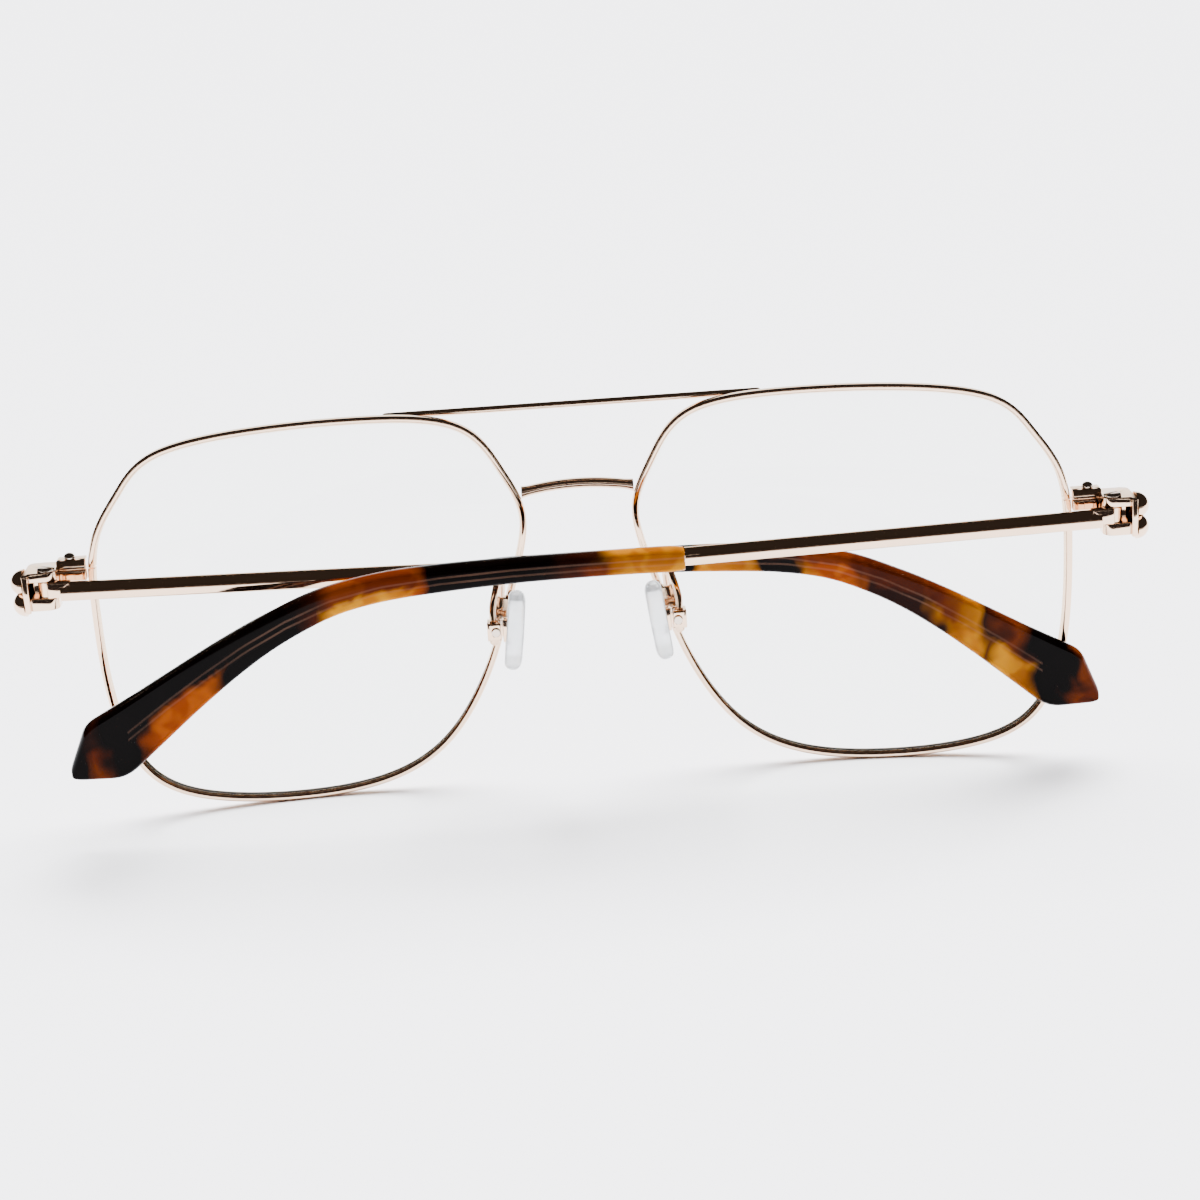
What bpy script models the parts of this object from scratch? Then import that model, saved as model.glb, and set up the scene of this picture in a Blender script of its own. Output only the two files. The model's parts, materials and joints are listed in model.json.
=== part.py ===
"""Folding metal eyeglasses with a brow bar over the bridge, rocking nose pads, and slim metal temples
that end in acetate sleeves.

The driving sizes are in millimetres in the face frame: X across the face with +X at the wearer's right,
+Y forward out of the lenses, +Z up, and the origin on the bridge's centre line at the lenses' mid height.
The right-hand pieces are drawn at +X, and each left-hand piece is its mirror image."""

import math

import bmesh
import bpy
from mathutils import Matrix, Vector

MM = 0.001
ROOT_SHIFT = (0.0, 7.07, 26.15)  # puts the origin under the middle of the whole, at the rims' lowest edge
GAP = 0.08  # between pieces that are soldered, glued or clamped together
MERGE = 1e-6
SHARP_ANGLE = math.radians(32)
SIDES = {"right": 1, "left": -1}

# Front: one B-spline outline of the rim's centre line, bent over a base curve and wrapped round the face.
LENS_X = 36.3
OUTLINE = [
    (64.9, 3.0), (64.6, 13.4), (59.9, 19.2), (56.3, 24.8), (41.5, 26.1), (27.8, 26.3),
    (13.6, 25.7), (9.9, 17.8), (6.3, 11.7), (9.9, 1.2), (12.9, -9.6), (19.2, -20.2),
    (27.9, -24.9), (38.9, -26.0), (51.3, -25.1), (61.0, -21.3), (64.6, -9.8),
]
OUTLINE_STEPS = 64
FINE_STEPS = 1700
BASE_RADIUS = 130.0
APEX_Y = 1.43
WRAP = math.tan(math.radians(3.5))
RIM_WIDTH = 0.95
RIM_DEPTH = 1.6
RIM_EDGE = 0.22
GROOVE_WIDTH = 0.9
GROOVE_DEPTH = 0.375
RIM_SPLIT_Z = 9.6
LENS_THICKNESS = 1.6
LENS_RINGS = (0.15, 0.45, 0.75, 1.0)  # shares of the way out to the edge
RIDGE_PLAY = 0.06

BROW_BAR_RADIUS = 0.45
BROW_BAR_HALF = 25.0
BROW_BAR_Y = 0.36
BROW_BAR_Z = 26.1
BRIDGE_HALF = 7.44
BRIDGE_Z = 14.8
BRIDGE_RISE = 0.55
BRIDGE_Y = -0.85
BRIDGE_BOW = 0.9
BRIDGE_TALL = 1.3
BRIDGE_DEEP = 1.6
BRIDGE_SQUARE = 0.6  # 1 gives an oval section, and less a squarer one
BRIDGE_SWELL = 0.25

# Closing blocks that clamp the split rim, with their screw.
BLOCK_X = (65.2, 69.0)
BLOCK_Y = (-5.0, -2.6)
BLOCK_Z = (8.1, 10.9)
BLOCK_BEVEL = 0.15
CLOSING_SCREW_XY = (67.3, -3.8)
CLOSING_SCREW_RADIUS = 0.45
CLOSING_HEAD_RADIUS = 0.75

# End piece with the hinge's two ears, and its ornament.
HINGE_XY = (70.0, -6.6)
END_Z = (5.2, 10.35)
WINDOW_Z = (6.9, 9.1)
WINDOW_FRONT_Y = -5.25
EAR_RADIUS = 1.3
EAR_INNER_X = 68.7
WALL_X = (72.15, 72.9)
PLATE_FRONT_Y = -2.7
PLATE_REAR_Y = -5.1
WALL_REAR_Y = -8.9
CORNER_RADIUS = 1.1
HINGE_SCREW_RADIUS = 0.5
HINGE_HEAD_RADIUS = 1.15
HINGE_HEAD_TALL = 0.38
BARREL_RADIUS = 1.25
RUNNING = 0.06  # between a screw and what turns on it
LOBE_SIZE = (1.75, 2.25, 1.68)
LOBE_Y = -6.75
LOBE_Z = (9.0, 6.1)

# Temples: s runs back from the hinge axis, t outward from it, and h up, measured in the face frame.
TEMPLE_H = 7.95
BAR_H = (7.75, 7.85)  # middle of the bar at the hinge and at the sleeve
BAR_TALL = (2.45, 2.35)
BAR_THICK = (1.2, 1.1)
BAR_CORNER = 0.2
BAR_BACK = 0.6  # between the end of the broad bar and the sleeve
BAR_T = 1.3
BAR_START = 1.9
NECK_T = (0.25, 1.65)
NECK_END = 3.1
SLEEVE_START = 57.4
CORE_END = 130.5
CORE_TALL = 1.2
CORE_THICK = 0.9
CORE_START = 2.0  # before the sleeve's mouth, inside the broad bar
CORE_INSIDE = 0.3  # how far the hole runs past the core's end and out of the mouth
CORE_STEPS = 18
TEMPLE_DROP = 0.27
BOW_START = 50.0
BOW = 0.0015
TIP_THICK = 2.8
TIP_EDGE = 0.8
TIP_STEPS = 33
TIP_SHOULDER_STEPS = 4
TIP_POINT_STEPS = 5
# Points along the sleeve's upper edge, and the points of the lower edge across from them.
TIP_UPPER = [
    (57.4, 9.2), (59.5, 9.45), (65.0, 9.55), (72.0, 9.65), (80.0, 9.7), (89.5, 9.5), (97.5, 8.85),
    (105.0, 7.15), (111.5, 4.45), (117.5, 1.45), (123.5, -1.95), (129.0, -5.15),
]
TIP_LOWER = [
    (57.4, 6.1), (59.5, 6.05), (65.0, 6.2), (72.0, 6.3), (80.0, 6.25), (88.5, 5.85), (95.5, 5.25),
    (101.5, 4.05), (106.5, 2.05), (111.5, -0.7), (116.5, -4.2), (121.5, -8.2),
]
# The sleeve's end is cut to a blunt point: two shoulders and the point, each with its rounding.
TIP_SHOULDERS = ((136.0, -9.0), (131.2, -16.6))
TIP_SHOULDER_RADII = (1.3, 2.0)
TIP_POINT = (139.2, -16.7)
TIP_POINT_RADIUS = 1.0
TIP_POINT_THICK = 0.62  # share of the thickness that is left at the point
REST_FOLD = {"right": 5.2, "left": 1.6}  # degrees between the folded temple and the front
REST_PLAY = {"right": 0.53, "left": -0.53}  # degrees by which the hinge's play tips each temple up

# Nose pads, their rocking boxes and the arms.
MOUNT_CENTRE = (11.35, -1.8, -1.3)
MOUNT_SIZE = (2.0, 2.5, 4.2)
MOUNT_TILT = 13.0
MOUNT_SCREW_Z = -0.7
MOUNT_HEAD_RADIUS = 0.68
MOUNT_HEAD_TALL = 0.4
FOOT_CENTRE = (12.2, -1.25, -4.85)
FOOT_SIZE = (1.3, 1.5, 2.5)
FOOT_TILT = 24.0
FOOT_BEVEL = 0.4
ARM_RADIUS = 0.45
ARM_STEPS = 24
ARM_PATH = [
    (11.1, -1.9, 1.02), (10.95, -2.3, 3.0), (11.1, -3.7, 4.3), (11.4, -5.3, 4.1),
    (11.9, -6.7, 2.7), (12.3, -7.6, 1.0), (12.3, -8.0, -0.42),
]
PAD_CENTRE = (9.5, -8.0, -1.9)
PAD_HALF = (1.15, 3.8, 5.45)
PAD_TILT = 7.5
# Place through the pad's thickness and share of the full outline there.
PAD_PROFILE = (
    (-1.0, 0.62), (-0.78, 0.82), (-0.3, 0.97), (0.15, 1.0), (0.62, 0.95), (0.9, 0.86), (1.0, 0.74),
)
PAD_TAPER = 0.1
PIVOT = (12.0, -8.0, -1.7)
PAD_BOX_SIZE = (1.8, 2.3, 2.4)
PAD_BOX_SHIFT = 0.25
LUG_PLATE = (1.1, 2.0, 3.0)
LUG_PLATE_X = -1.45
SLOT_WIDTH = 1.16
LUG_THICK = 1.0
LUG_EYE = 0.65
PAD_SCREW_RADIUS = 0.35


def clear_scene():
    for obj in list(bpy.data.objects):
        bpy.data.objects.remove(obj)


def make_material(name, colour, metallic, roughness, alpha=1.0):
    made = bpy.data.materials.new(name)
    made.use_nodes = True
    shader = made.node_tree.nodes["Principled BSDF"]
    shader.inputs["Base Color"].default_value = (*colour, 1.0)
    shader.inputs["Metallic"].default_value = metallic
    shader.inputs["Roughness"].default_value = roughness
    shader.inputs["Alpha"].default_value = alpha
    made.diffuse_color = (*colour, alpha)
    return made


def empty(name, parent, matrix):
    made = bpy.data.objects.new(name, None)
    made.empty_display_size = 5 * MM
    made.parent = parent
    made.matrix_local = matrix
    parts.objects.link(made)
    return made


def shade(mesh):
    mesh.shade_smooth()
    mesh.set_sharp_from_angle(angle=SHARP_ANGLE)


def add(name, bm, material, parent, collection=None):
    """A piece from a bmesh in millimetres, in its parent's frame."""
    bmesh.ops.scale(bm, vec=(MM, MM, MM), verts=bm.verts)
    bmesh.ops.recalc_face_normals(bm, faces=bm.faces)
    mesh = bpy.data.meshes.new(name)
    bm.to_mesh(mesh)
    bm.free()
    mesh.materials.append(material)
    shade(mesh)
    made = bpy.data.objects.new(name, mesh)
    made.parent = parent
    (collection or parts).objects.link(made)
    return made


def combine(target, bm, operation, name):
    """One Boolean on a part, with a cutter in millimetres in the same frame."""
    cutter = add(name, bm, target.data.materials[0], target.parent, cutters)
    cutter.hide_render = True
    cutter.display_type = "WIRE"
    modifier = target.modifiers.new(name, "BOOLEAN")
    modifier.operation = operation
    modifier.solver = "EXACT"
    modifier.object = cutter


def box(centre, size, bevel=0.0, rotation=None):
    bm = bmesh.new()
    bmesh.ops.create_cube(bm, size=1.0)
    bmesh.ops.scale(bm, vec=size, verts=bm.verts)
    if bevel:
        bmesh.ops.bevel(bm, geom=bm.edges, offset=bevel, segments=2, affect="EDGES", profile=0.5)
    if rotation:
        bmesh.ops.rotate(bm, matrix=rotation, verts=bm.verts)
    bmesh.ops.translate(bm, vec=centre, verts=bm.verts)
    return bm


def box_between(low, high, bevel=0.0):
    size = [b - a for a, b in zip(low, high)]
    centre = [(a + b) / 2 for a, b in zip(low, high)]
    return box(centre, size, bevel)


def turn_to(axis):
    return Vector((0, 0, 1)).rotation_difference(Vector(axis)).to_matrix().to_4x4()


def cylinder(radius, start, end, base, axis=(0, 0, 1), steps=24):
    """A round bar from start to end along the axis through base."""
    bm = bmesh.new()
    long = end - start
    bmesh.ops.create_cone(bm, cap_ends=True, segments=steps, radius1=radius, radius2=radius, depth=long)
    bmesh.ops.translate(bm, vec=(0, 0, (start + end) / 2), verts=bm.verts)
    bmesh.ops.transform(bm, matrix=Matrix.Translation(base) @ turn_to(axis), verts=bm.verts)
    return bm


def turned(name, profile, base, axis, material, parent, steps=24):
    """A round piece: (radius, height) pairs from its top to its foot, turned about the axis through base."""
    points = [(0.0, profile[0][1])] + profile + [(0.0, profile[-1][1])]
    mesh = bpy.data.meshes.new(name)
    vertices = [(radius * MM, 0.0, height * MM) for radius, height in points]
    mesh.from_pydata(vertices, [(i, i + 1) for i in range(len(points) - 1)], [])
    mesh.materials.append(material)
    made = bpy.data.objects.new(name, mesh)
    parts.objects.link(made)
    made.parent = parent
    made.matrix_local = Matrix.Translation(Vector(base) * MM) @ turn_to(axis)
    screw = made.modifiers.new("turn", "SCREW")
    screw.steps = steps
    screw.render_steps = steps
    screw.use_merge_vertices = True
    screw.merge_threshold = MERGE
    return made


def wire(name, points, radii, material, parent, sides):
    """A round wire through the points, with its ends filled."""
    curve = bpy.data.curves.new(name, "CURVE")
    curve.dimensions = "3D"
    curve.bevel_depth = MM
    curve.bevel_resolution = sides // 4 - 1
    curve.use_fill_caps = True
    spline = curve.splines.new("POLY")
    spline.points.add(len(points) - 1)
    for point, place, radius in zip(spline.points, points, radii):
        point.co = (*(Vector(place) * MM), 1.0)
        point.radius = radius
    curve.materials.append(material)
    made = bpy.data.objects.new(name, curve)
    made.parent = parent
    parts.objects.link(made)
    return made


def flat_solid(name, outline, low, high, material, parent):
    """A mesh with this plan outline between two heights."""
    curve = bpy.data.curves.new(name + "_outline", "CURVE")
    curve.dimensions = "2D"
    curve.fill_mode = "BOTH"
    curve.extrude = (high - low) / 2 * MM
    spline = curve.splines.new("POLY")
    spline.points.add(len(outline) - 1)
    for point, (x, y) in zip(spline.points, outline):
        point.co = (x * MM, y * MM, 0.0, 1.0)
    spline.use_cyclic_u = True
    guide = bpy.data.objects.new(name + "_outline", curve)
    parts.objects.link(guide)
    mesh = bpy.data.meshes.new_from_object(guide.evaluated_get(bpy.context.evaluated_depsgraph_get()))
    bpy.data.objects.remove(guide)
    bm = bmesh.new()
    bm.from_mesh(mesh)
    bpy.data.meshes.remove(mesh)
    bmesh.ops.remove_doubles(bm, verts=bm.verts, dist=MERGE)
    bmesh.ops.scale(bm, vec=(1 / MM, 1 / MM, 1 / MM), verts=bm.verts)
    bmesh.ops.translate(bm, vec=(0, 0, (low + high) / 2), verts=bm.verts)
    return add(name, bm, material, parent)


def loft(rings):
    """Skin over rings that have the same number of points, with the first and last closed off."""
    bm = bmesh.new()
    rows = [[bm.verts.new(point) for point in ring] for ring in rings]
    count = len(rows[0])
    for one, two in zip(rows, rows[1:]):
        for i in range(count):
            j = (i + 1) % count
            bm.faces.new((one[i], one[j], two[j], two[i]))
    bm.faces.new(rows[0])
    bm.faces.new(rows[-1])
    return bm


def flip(bm, side):
    """The piece, or its mirror image on the other side of the face."""
    bmesh.ops.scale(bm, vec=(side, 1, 1), verts=bm.verts)
    return bm


def b_spline(points, t):
    """A point of the closed cubic B-spline at t, counted in control points."""
    i = int(math.floor(t))
    f = t - i
    weights = ((1 - f) ** 3, 3 * f**3 - 6 * f**2 + 4, -3 * f**3 + 3 * f**2 + 3 * f + 1, f**3)
    near = [Vector(points[(i + k - 1) % len(points)]) for k in range(4)]
    return sum((w / 6 * p for w, p in zip(weights, near)), Vector((0, 0)))


def catmull(points, t):
    """A point at t, from 0 to 1, of a smooth curve through the points."""
    span = t * (len(points) - 1)
    i = min(int(span), len(points) - 2)
    f = span - i
    near = [Vector(points[min(max(i + k, 0), len(points) - 1)]) for k in (-1, 0, 1, 2)]
    a, b, c, d = near
    return 0.5 * (2 * b + (c - a) * f + (2 * a - 5 * b + 4 * c - d) * f**2 + (3 * b - a - 3 * c + d) * f**3)


def spaced(points, count):
    """This many even steps along a line of points."""
    run = [0.0]
    for a, b in zip(points, points[1:]):
        run.append(run[-1] + (b - a).length)
    found = []
    k = 0
    for i in range(count + 1):
        want = run[-1] * i / count
        while k < len(points) - 2 and run[k + 1] < want:
            k += 1
        found.append(points[k].lerp(points[k + 1], (want - run[k]) / (run[k + 1] - run[k])))
    return found


def front_y(x, z):
    """Depth of the front's middle surface."""
    across = abs(x) - LENS_X
    return APEX_Y - (across**2 + z**2) / (2 * BASE_RADIUS) - WRAP * across


def rim_path():
    """Even points round the rim from its split, each with its outward normal in the X-Z plane."""
    fine = [b_spline(OUTLINE, len(OUTLINE) * i / FINE_STEPS) for i in range(FINE_STEPS)]
    outer = [i for i, p in enumerate(fine) if p.x > LENS_X]
    start = min(outer, key=lambda i: abs(fine[i].y - RIM_SPLIT_Z))
    fine = fine[start:] + fine[: start + 1]
    path = spaced(fine, OUTLINE_STEPS)[:-1]
    normals = []
    for i in range(OUTLINE_STEPS):
        along = (path[(i + 1) % OUTLINE_STEPS] - path[i - 1]).normalized()
        normals.append(Vector((along.y, -along.x)))
    return path, normals


def rim_point(point, normal, out, deep):
    p = point + normal * out
    return (p.x, front_y(p.x, p.y) + deep, p.y)


def make_rim(side, path, normals):
    """Grooved wire, open at its split."""
    w = RIM_WIDTH / 2
    d = RIM_DEPTH / 2
    g = GROOVE_WIDTH / 2
    e = RIM_EDGE
    section = [
        (-w, g), (e / 4 - w, d), (w - e, d), (w, d - e), (w, e - d),
        (w - e, -d), (e / 4 - w, -d), (-w, -g), (GROOVE_DEPTH - w, 0),
    ]
    along = Vector((-normals[0].y, normals[0].x))
    points = [path[0] + along * GAP] + path[1:] + [path[0] - along * GAP]
    outward = normals + [normals[0]]
    rings = [[rim_point(p, n, out, deep) for out, deep in section] for p, n in zip(points, outward)]
    return flip(loft(rings), side)


def make_lens(side, path, normals):
    """Two curved faces and an edge with a ridge that sits in the rim's groove."""
    edge = RIM_WIDTH / 2 + GAP
    ridge = edge - GROOVE_DEPTH + RIDGE_PLAY
    half = LENS_THICKNESS / 2
    foot = GROOVE_WIDTH / 2 - RIDGE_PLAY
    middle = Vector((LENS_X, 0))
    inner = [middle.lerp(p - n * edge, share) for share in LENS_RINGS for p, n in zip(path, normals)]
    inner = [inner[i : i + len(path)] for i in range(0, len(inner), len(path))]
    rings = []
    for ring in inner:
        rings.append([rim_point(p, n, 0, -half) for p, n in zip(ring, normals)])
    for out, deep in ((edge, -foot), (ridge, 0), (edge, foot)):
        rings.append([rim_point(p, n, -out, deep) for p, n in zip(path, normals)])
    for ring in reversed(inner):
        rings.append([rim_point(p, n, 0, half) for p, n in zip(ring, normals)])
    return flip(loft(rings), side)


def make_brow_bar(material):
    """A straight round bar with ball ends."""
    r = BROW_BAR_RADIUS
    turns = [math.radians(angle) for angle in (20, 45, 68, 90)]
    ends = [(BROW_BAR_HALF - r + r * math.cos(a), r * math.sin(a)) for a in turns]
    line = [(x, radius) for x, radius in ends] + [(-x, radius) for x, radius in reversed(ends)]
    points = [(x, BROW_BAR_Y, BROW_BAR_Z) for x, _ in line]
    wire("brow_bar", points, [radius for _, radius in line], material, root, 16)


def make_bridge():
    """A shallow arch from rim to rim, deeper than it is tall, which swells into the soldered joints."""
    rings = []
    steps = 24
    sides = 12
    for i in range(steps + 1):
        u = 2 * i / steps - 1
        arch = 1 - u * u
        middle = Vector((BRIDGE_HALF * u, BRIDGE_Y + BRIDGE_BOW * arch, BRIDGE_Z + BRIDGE_RISE * arch))
        tall = BRIDGE_TALL * (1 + BRIDGE_SWELL * max(0, 4 * abs(u) - 3))
        ring = []
        for k in range(sides):
            a = math.tau * k / sides
            y = math.copysign(abs(math.cos(a)) ** BRIDGE_SQUARE, math.cos(a)) * BRIDGE_DEEP / 2
            z = math.copysign(abs(math.sin(a)) ** BRIDGE_SQUARE, math.sin(a)) * tall / 2
            ring.append(middle + Vector((0, y, z)))
        rings.append(ring)
    return loft(rings)


def arc(centre, radius, start, end, steps):
    """Points of an arc, from one angle to the other in degrees."""
    turns = [math.radians(start + (end - start) * i / steps) for i in range(steps + 1)]
    return [(centre[0] + radius * math.cos(a), centre[1] + radius * math.sin(a)) for a in turns]


def hinge_plan(side):
    """Plan of the end piece: front plate, rounded corner, outer wall and the ears behind the plate."""
    front = BLOCK_X[1] + GAP
    plan = [(front, PLATE_FRONT_Y)]
    plan += arc((WALL_X[1] - CORNER_RADIUS, PLATE_FRONT_Y - CORNER_RADIUS), CORNER_RADIUS, 90, 0, 6)
    plan += [(WALL_X[1], WALL_REAR_Y), (WALL_X[0], WALL_REAR_Y), (WALL_X[0], HINGE_XY[1] - EAR_RADIUS)]
    plan += arc(HINGE_XY, EAR_RADIUS, 270, 180, 8)
    plan += [(EAR_INNER_X, PLATE_REAR_Y), (front, PLATE_REAR_Y)]
    return [(side * x, y) for x, y in plan]


def make_ornament(name, side, material):
    """Two rounded lobes, one above the other, on the end piece's outer wall."""
    lobes = []
    for z in LOBE_Z:
        bm = bmesh.new()
        bmesh.ops.create_uvsphere(bm, u_segments=20, v_segments=10, radius=1.0)
        bmesh.ops.scale(bm, vec=LOBE_SIZE, verts=bm.verts)
        everything = bm.verts[:] + bm.edges[:] + bm.faces[:]
        cut = bmesh.ops.bisect_plane(
            bm, geom=everything, plane_co=(0, 0, 0), plane_no=(-1, 0, 0), clear_outer=True
        )
        rim = [e for e in cut["geom_cut"] if isinstance(e, bmesh.types.BMEdge)]
        bmesh.ops.holes_fill(bm, edges=rim)
        bmesh.ops.translate(bm, vec=(WALL_X[1] + GAP, LOBE_Y, z), verts=bm.verts)
        lobes.append(flip(bm, side))
    made = add(name, lobes[0], material, root)
    combine(made, lobes[1], "UNION", name + "_lower_lobe")


def in_temple(s, t, h):
    """A temple point in its hinge's frame, whose Z is 0 at the middle of the hinge."""
    inward = 0.5 * BOW * max(0, s - BOW_START) ** 2
    drop = math.tan(math.radians(TEMPLE_DROP)) * max(0, s)
    return Vector((s, t - inward, h - TEMPLE_H - drop))


def bar_section(s, middle_h, tall, thick):
    """A rectangle with cut corners across the bar."""
    a = thick / 2
    b = tall / 2
    half = [(a, BAR_CORNER - b), (a, b - BAR_CORNER), (a - BAR_CORNER, b), (BAR_CORNER - a, b)]
    section = half + [(-t, -h) for t, h in half]
    return [in_temple(s, BAR_T + t, middle_h + h) for t, h in section]


def tip_stations():
    """The sleeve's upper and lower edges as pairs of points, from its mouth to its blunt point."""
    steps = TIP_STEPS
    upper = [catmull(TIP_UPPER, i / steps) for i in range(steps + 1)]
    lower = [catmull(TIP_LOWER, i / steps) for i in range(steps + 1)]
    point = Vector(TIP_POINT)
    for edge, shoulder, radius in zip((upper, lower), TIP_SHOULDERS, TIP_SHOULDER_RADII):
        shoulder = Vector(shoulder)
        before = (edge[-1] - shoulder).normalized()
        after = (point - shoulder).normalized()
        start = shoulder + before * radius
        end = shoulder + after * radius
        turn = [quadratic(start, shoulder, end, i / 6) for i in range(7)]
        other = Vector(TIP_SHOULDERS[1] if edge is upper else TIP_SHOULDERS[0])
        blunt = point + (shoulder - point).normalized() * TIP_POINT_RADIUS
        far = point + (other - point).normalized() * TIP_POINT_RADIUS
        nose = [quadratic(blunt, point, far, i / 8) for i in range(5)]
        edge += spaced([edge[-1]] + turn[:4], TIP_SHOULDER_STEPS)[1:]
        edge += spaced(turn[3:] + nose, TIP_POINT_STEPS)[1:-1]
        edge.append(nose[-1].lerp(shoulder, 0.01))
    return list(zip(upper, lower))


def quadratic(a, b, c, f):
    """A point of the rounding between two straight edges that meet at b."""
    return a.lerp(b, f).lerp(b.lerp(c, f), f)


def core_line(s):
    """Height of the middle of the sleeve at s."""
    middles = [(a + b) / 2 for a, b in zip(map(Vector, TIP_UPPER), map(Vector, TIP_LOWER))]
    middles[0].y = middles[1].y
    middles.append((Vector(TIP_SHOULDERS[0]) + Vector(TIP_SHOULDERS[1])) / 2)
    for one, two in zip(middles, middles[1:]):
        if s <= two.x:
            return one.lerp(two, max(0, (s - one.x) / (two.x - one.x))).y
    return middles[-1].y


def core_sections(grow, start, end):
    """Sections of the core, or of the hole round it."""
    stations = [start + (end - start) * i / CORE_STEPS for i in range(CORE_STEPS + 1)]
    return [bar_section(s, core_line(s), CORE_TALL + grow, CORE_THICK + grow) for s in stations]


def make_bar():
    """Flat bar up to the sleeve."""
    rings = []
    steps = 4
    for i in range(steps + 1):
        u = i / steps
        s = BAR_START + (SLEEVE_START - BAR_BACK - BAR_START) * u
        middle, tall, thick = (a + (b - a) * u for a, b in (BAR_H, BAR_TALL, BAR_THICK))
        rings.append(bar_section(s, middle, tall, thick))
    return loft(rings)


def make_tip():
    """Flat acetate sleeve with softened edges, straight and then curving down to its blunt point."""
    stations = tip_stations()
    shoulder = len(stations) - 1 - TIP_POINT_STEPS
    rings = []
    for i, (upper, lower) in enumerate(stations):
        across = lower - upper
        tall = across.length
        edge = min(TIP_EDGE, tall * 0.3) / tall
        beyond = max(0, i - shoulder) / TIP_POINT_STEPS
        mouth = min(1.0, 0.84 + 0.16 * i)
        thick = TIP_THICK / 2 * mouth * (1 - (1 - TIP_POINT_THICK) * beyond)
        half = [(0, 0.4), (edge * 0.3, 0.78), (edge, 1), (0.5, 1)]
        half += [(1 - share, out) for share, out in reversed(half[:-1])]
        ring = []
        for share, out in half + [(share, -out) for share, out in reversed(half)]:
            p = upper + across * share
            ring.append(in_temple(p.x, BAR_T + thick * out, p.y))
        rings.append(ring)
    return loft(rings)


def hinge_frame(side):
    """Matrix of a temple's frame: origin on the hinge axis, X back along the temple and Y outward."""
    sign = SIDES[side]
    a = math.radians(REST_FOLD[side])
    along = Vector((-sign * math.cos(a), -math.sin(a), 0))
    outward = Vector((sign * math.sin(a), -math.cos(a), 0))
    turn = Matrix((along, outward, Vector((0, 0, 1)))).transposed().to_4x4()
    play = Matrix.Rotation(math.radians(-REST_PLAY[side]), 4, "Y")
    place = Matrix.Translation(Vector((sign * HINGE_XY[0], HINGE_XY[1], TEMPLE_H)) * MM)
    return place @ turn @ play


def make_temple(side, metal, acetate):
    frame = empty(side + "_temple", root, hinge_frame(side))
    low = WINDOW_Z[0] + GAP - TEMPLE_H
    high = WINDOW_Z[1] - GAP - TEMPLE_H
    bar = add("temple_bar_" + side, make_bar(), metal, frame)
    combine(bar, loft(core_sections(0.0, SLEEVE_START - CORE_START, CORE_END)), "UNION", "core_" + side)
    barrel = cylinder(BARREL_RADIUS, low, high, (0, 0, 0), steps=28)
    combine(bar, barrel, "UNION", "barrel_" + side)
    neck = box_between((0.2, NECK_T[0], low), (NECK_END, NECK_T[1], high), 0.1)
    combine(bar, neck, "UNION", "neck_" + side)
    hole = cylinder(HINGE_SCREW_RADIUS + RUNNING, 2 * low, 2 * high, (0, 0, 0))
    combine(bar, hole, "DIFFERENCE", "barrel_hole_" + side)
    tip = add("temple_tip_" + side, make_tip(), acetate, frame)
    channel = core_sections(2 * GAP, SLEEVE_START - CORE_INSIDE, CORE_END + CORE_INSIDE)
    combine(tip, loft(channel), "DIFFERENCE", "core_channel_" + side)


def make_hinge(side, metal, steel):
    sign = SIDES[side]
    centre = (sign * HINGE_XY[0], HINGE_XY[1], 0)
    end = flat_solid("end_piece_" + side, hinge_plan(sign), *END_Z, metal, root)
    low = (EAR_INNER_X - 1, WALL_REAR_Y - 1, WINDOW_Z[0])
    window = box_between(low, (WALL_X[0], WINDOW_FRONT_Y, WINDOW_Z[1]))
    combine(end, flip(window, sign), "DIFFERENCE", "hinge_window_" + side)
    hole = cylinder(HINGE_SCREW_RADIUS + GAP, END_Z[0] - 1, END_Z[1] + 1, centre)
    combine(end, hole, "DIFFERENCE", "hinge_hole_" + side)
    under = END_Z[1] + GAP
    top = under + HINGE_HEAD_TALL
    r = HINGE_HEAD_RADIUS
    profile = [
        (r - 0.25, top), (r, (under + top) / 2), (r, under), (HINGE_SCREW_RADIUS, under),
        (HINGE_SCREW_RADIUS, END_Z[0] + GAP),
    ]
    screw = turned("hinge_screw_" + side, profile, centre, (0, 0, 1), steel, root)
    combine(screw, box((centre[0], centre[1], top), (3, 0.28, 0.44)), "DIFFERENCE", "hinge_slot_" + side)


def make_closing_blocks(side, metal, steel):
    """Two blocks that clamp the split rim, and the round-headed screw down through them."""
    sign = SIDES[side]
    centre = (sign * CLOSING_SCREW_XY[0], CLOSING_SCREW_XY[1], 0)
    levels = {
        "upper": (RIM_SPLIT_Z + GAP / 2, BLOCK_Z[1]),
        "lower": (BLOCK_Z[0], RIM_SPLIT_Z - GAP / 2),
    }
    for level, (low, high) in levels.items():
        block = box_between((BLOCK_X[0], BLOCK_Y[0], low), (BLOCK_X[1], BLOCK_Y[1], high), BLOCK_BEVEL)
        made = add("closing_block_" + level + "_" + side, flip(block, sign), metal, root)
        hole = cylinder(CLOSING_SCREW_RADIUS + GAP, low - 1, high + 1, centre)
        combine(made, hole, "DIFFERENCE", "closing_hole_" + level + "_" + side)
    under = BLOCK_Z[1] + GAP
    r = CLOSING_HEAD_RADIUS
    dome = [(r * math.cos(a), under + 0.2 + 0.8 * r * math.sin(a)) for a in (1.2, 0.8, 0.4, 0.0)]
    shank = CLOSING_SCREW_RADIUS
    profile = dome + [(0.85 * r, under), (shank, under), (shank, BLOCK_Z[0] + GAP)]
    turned("closing_screw_" + side, profile, centre, (0, 0, 1), steel, root, 20)


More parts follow.
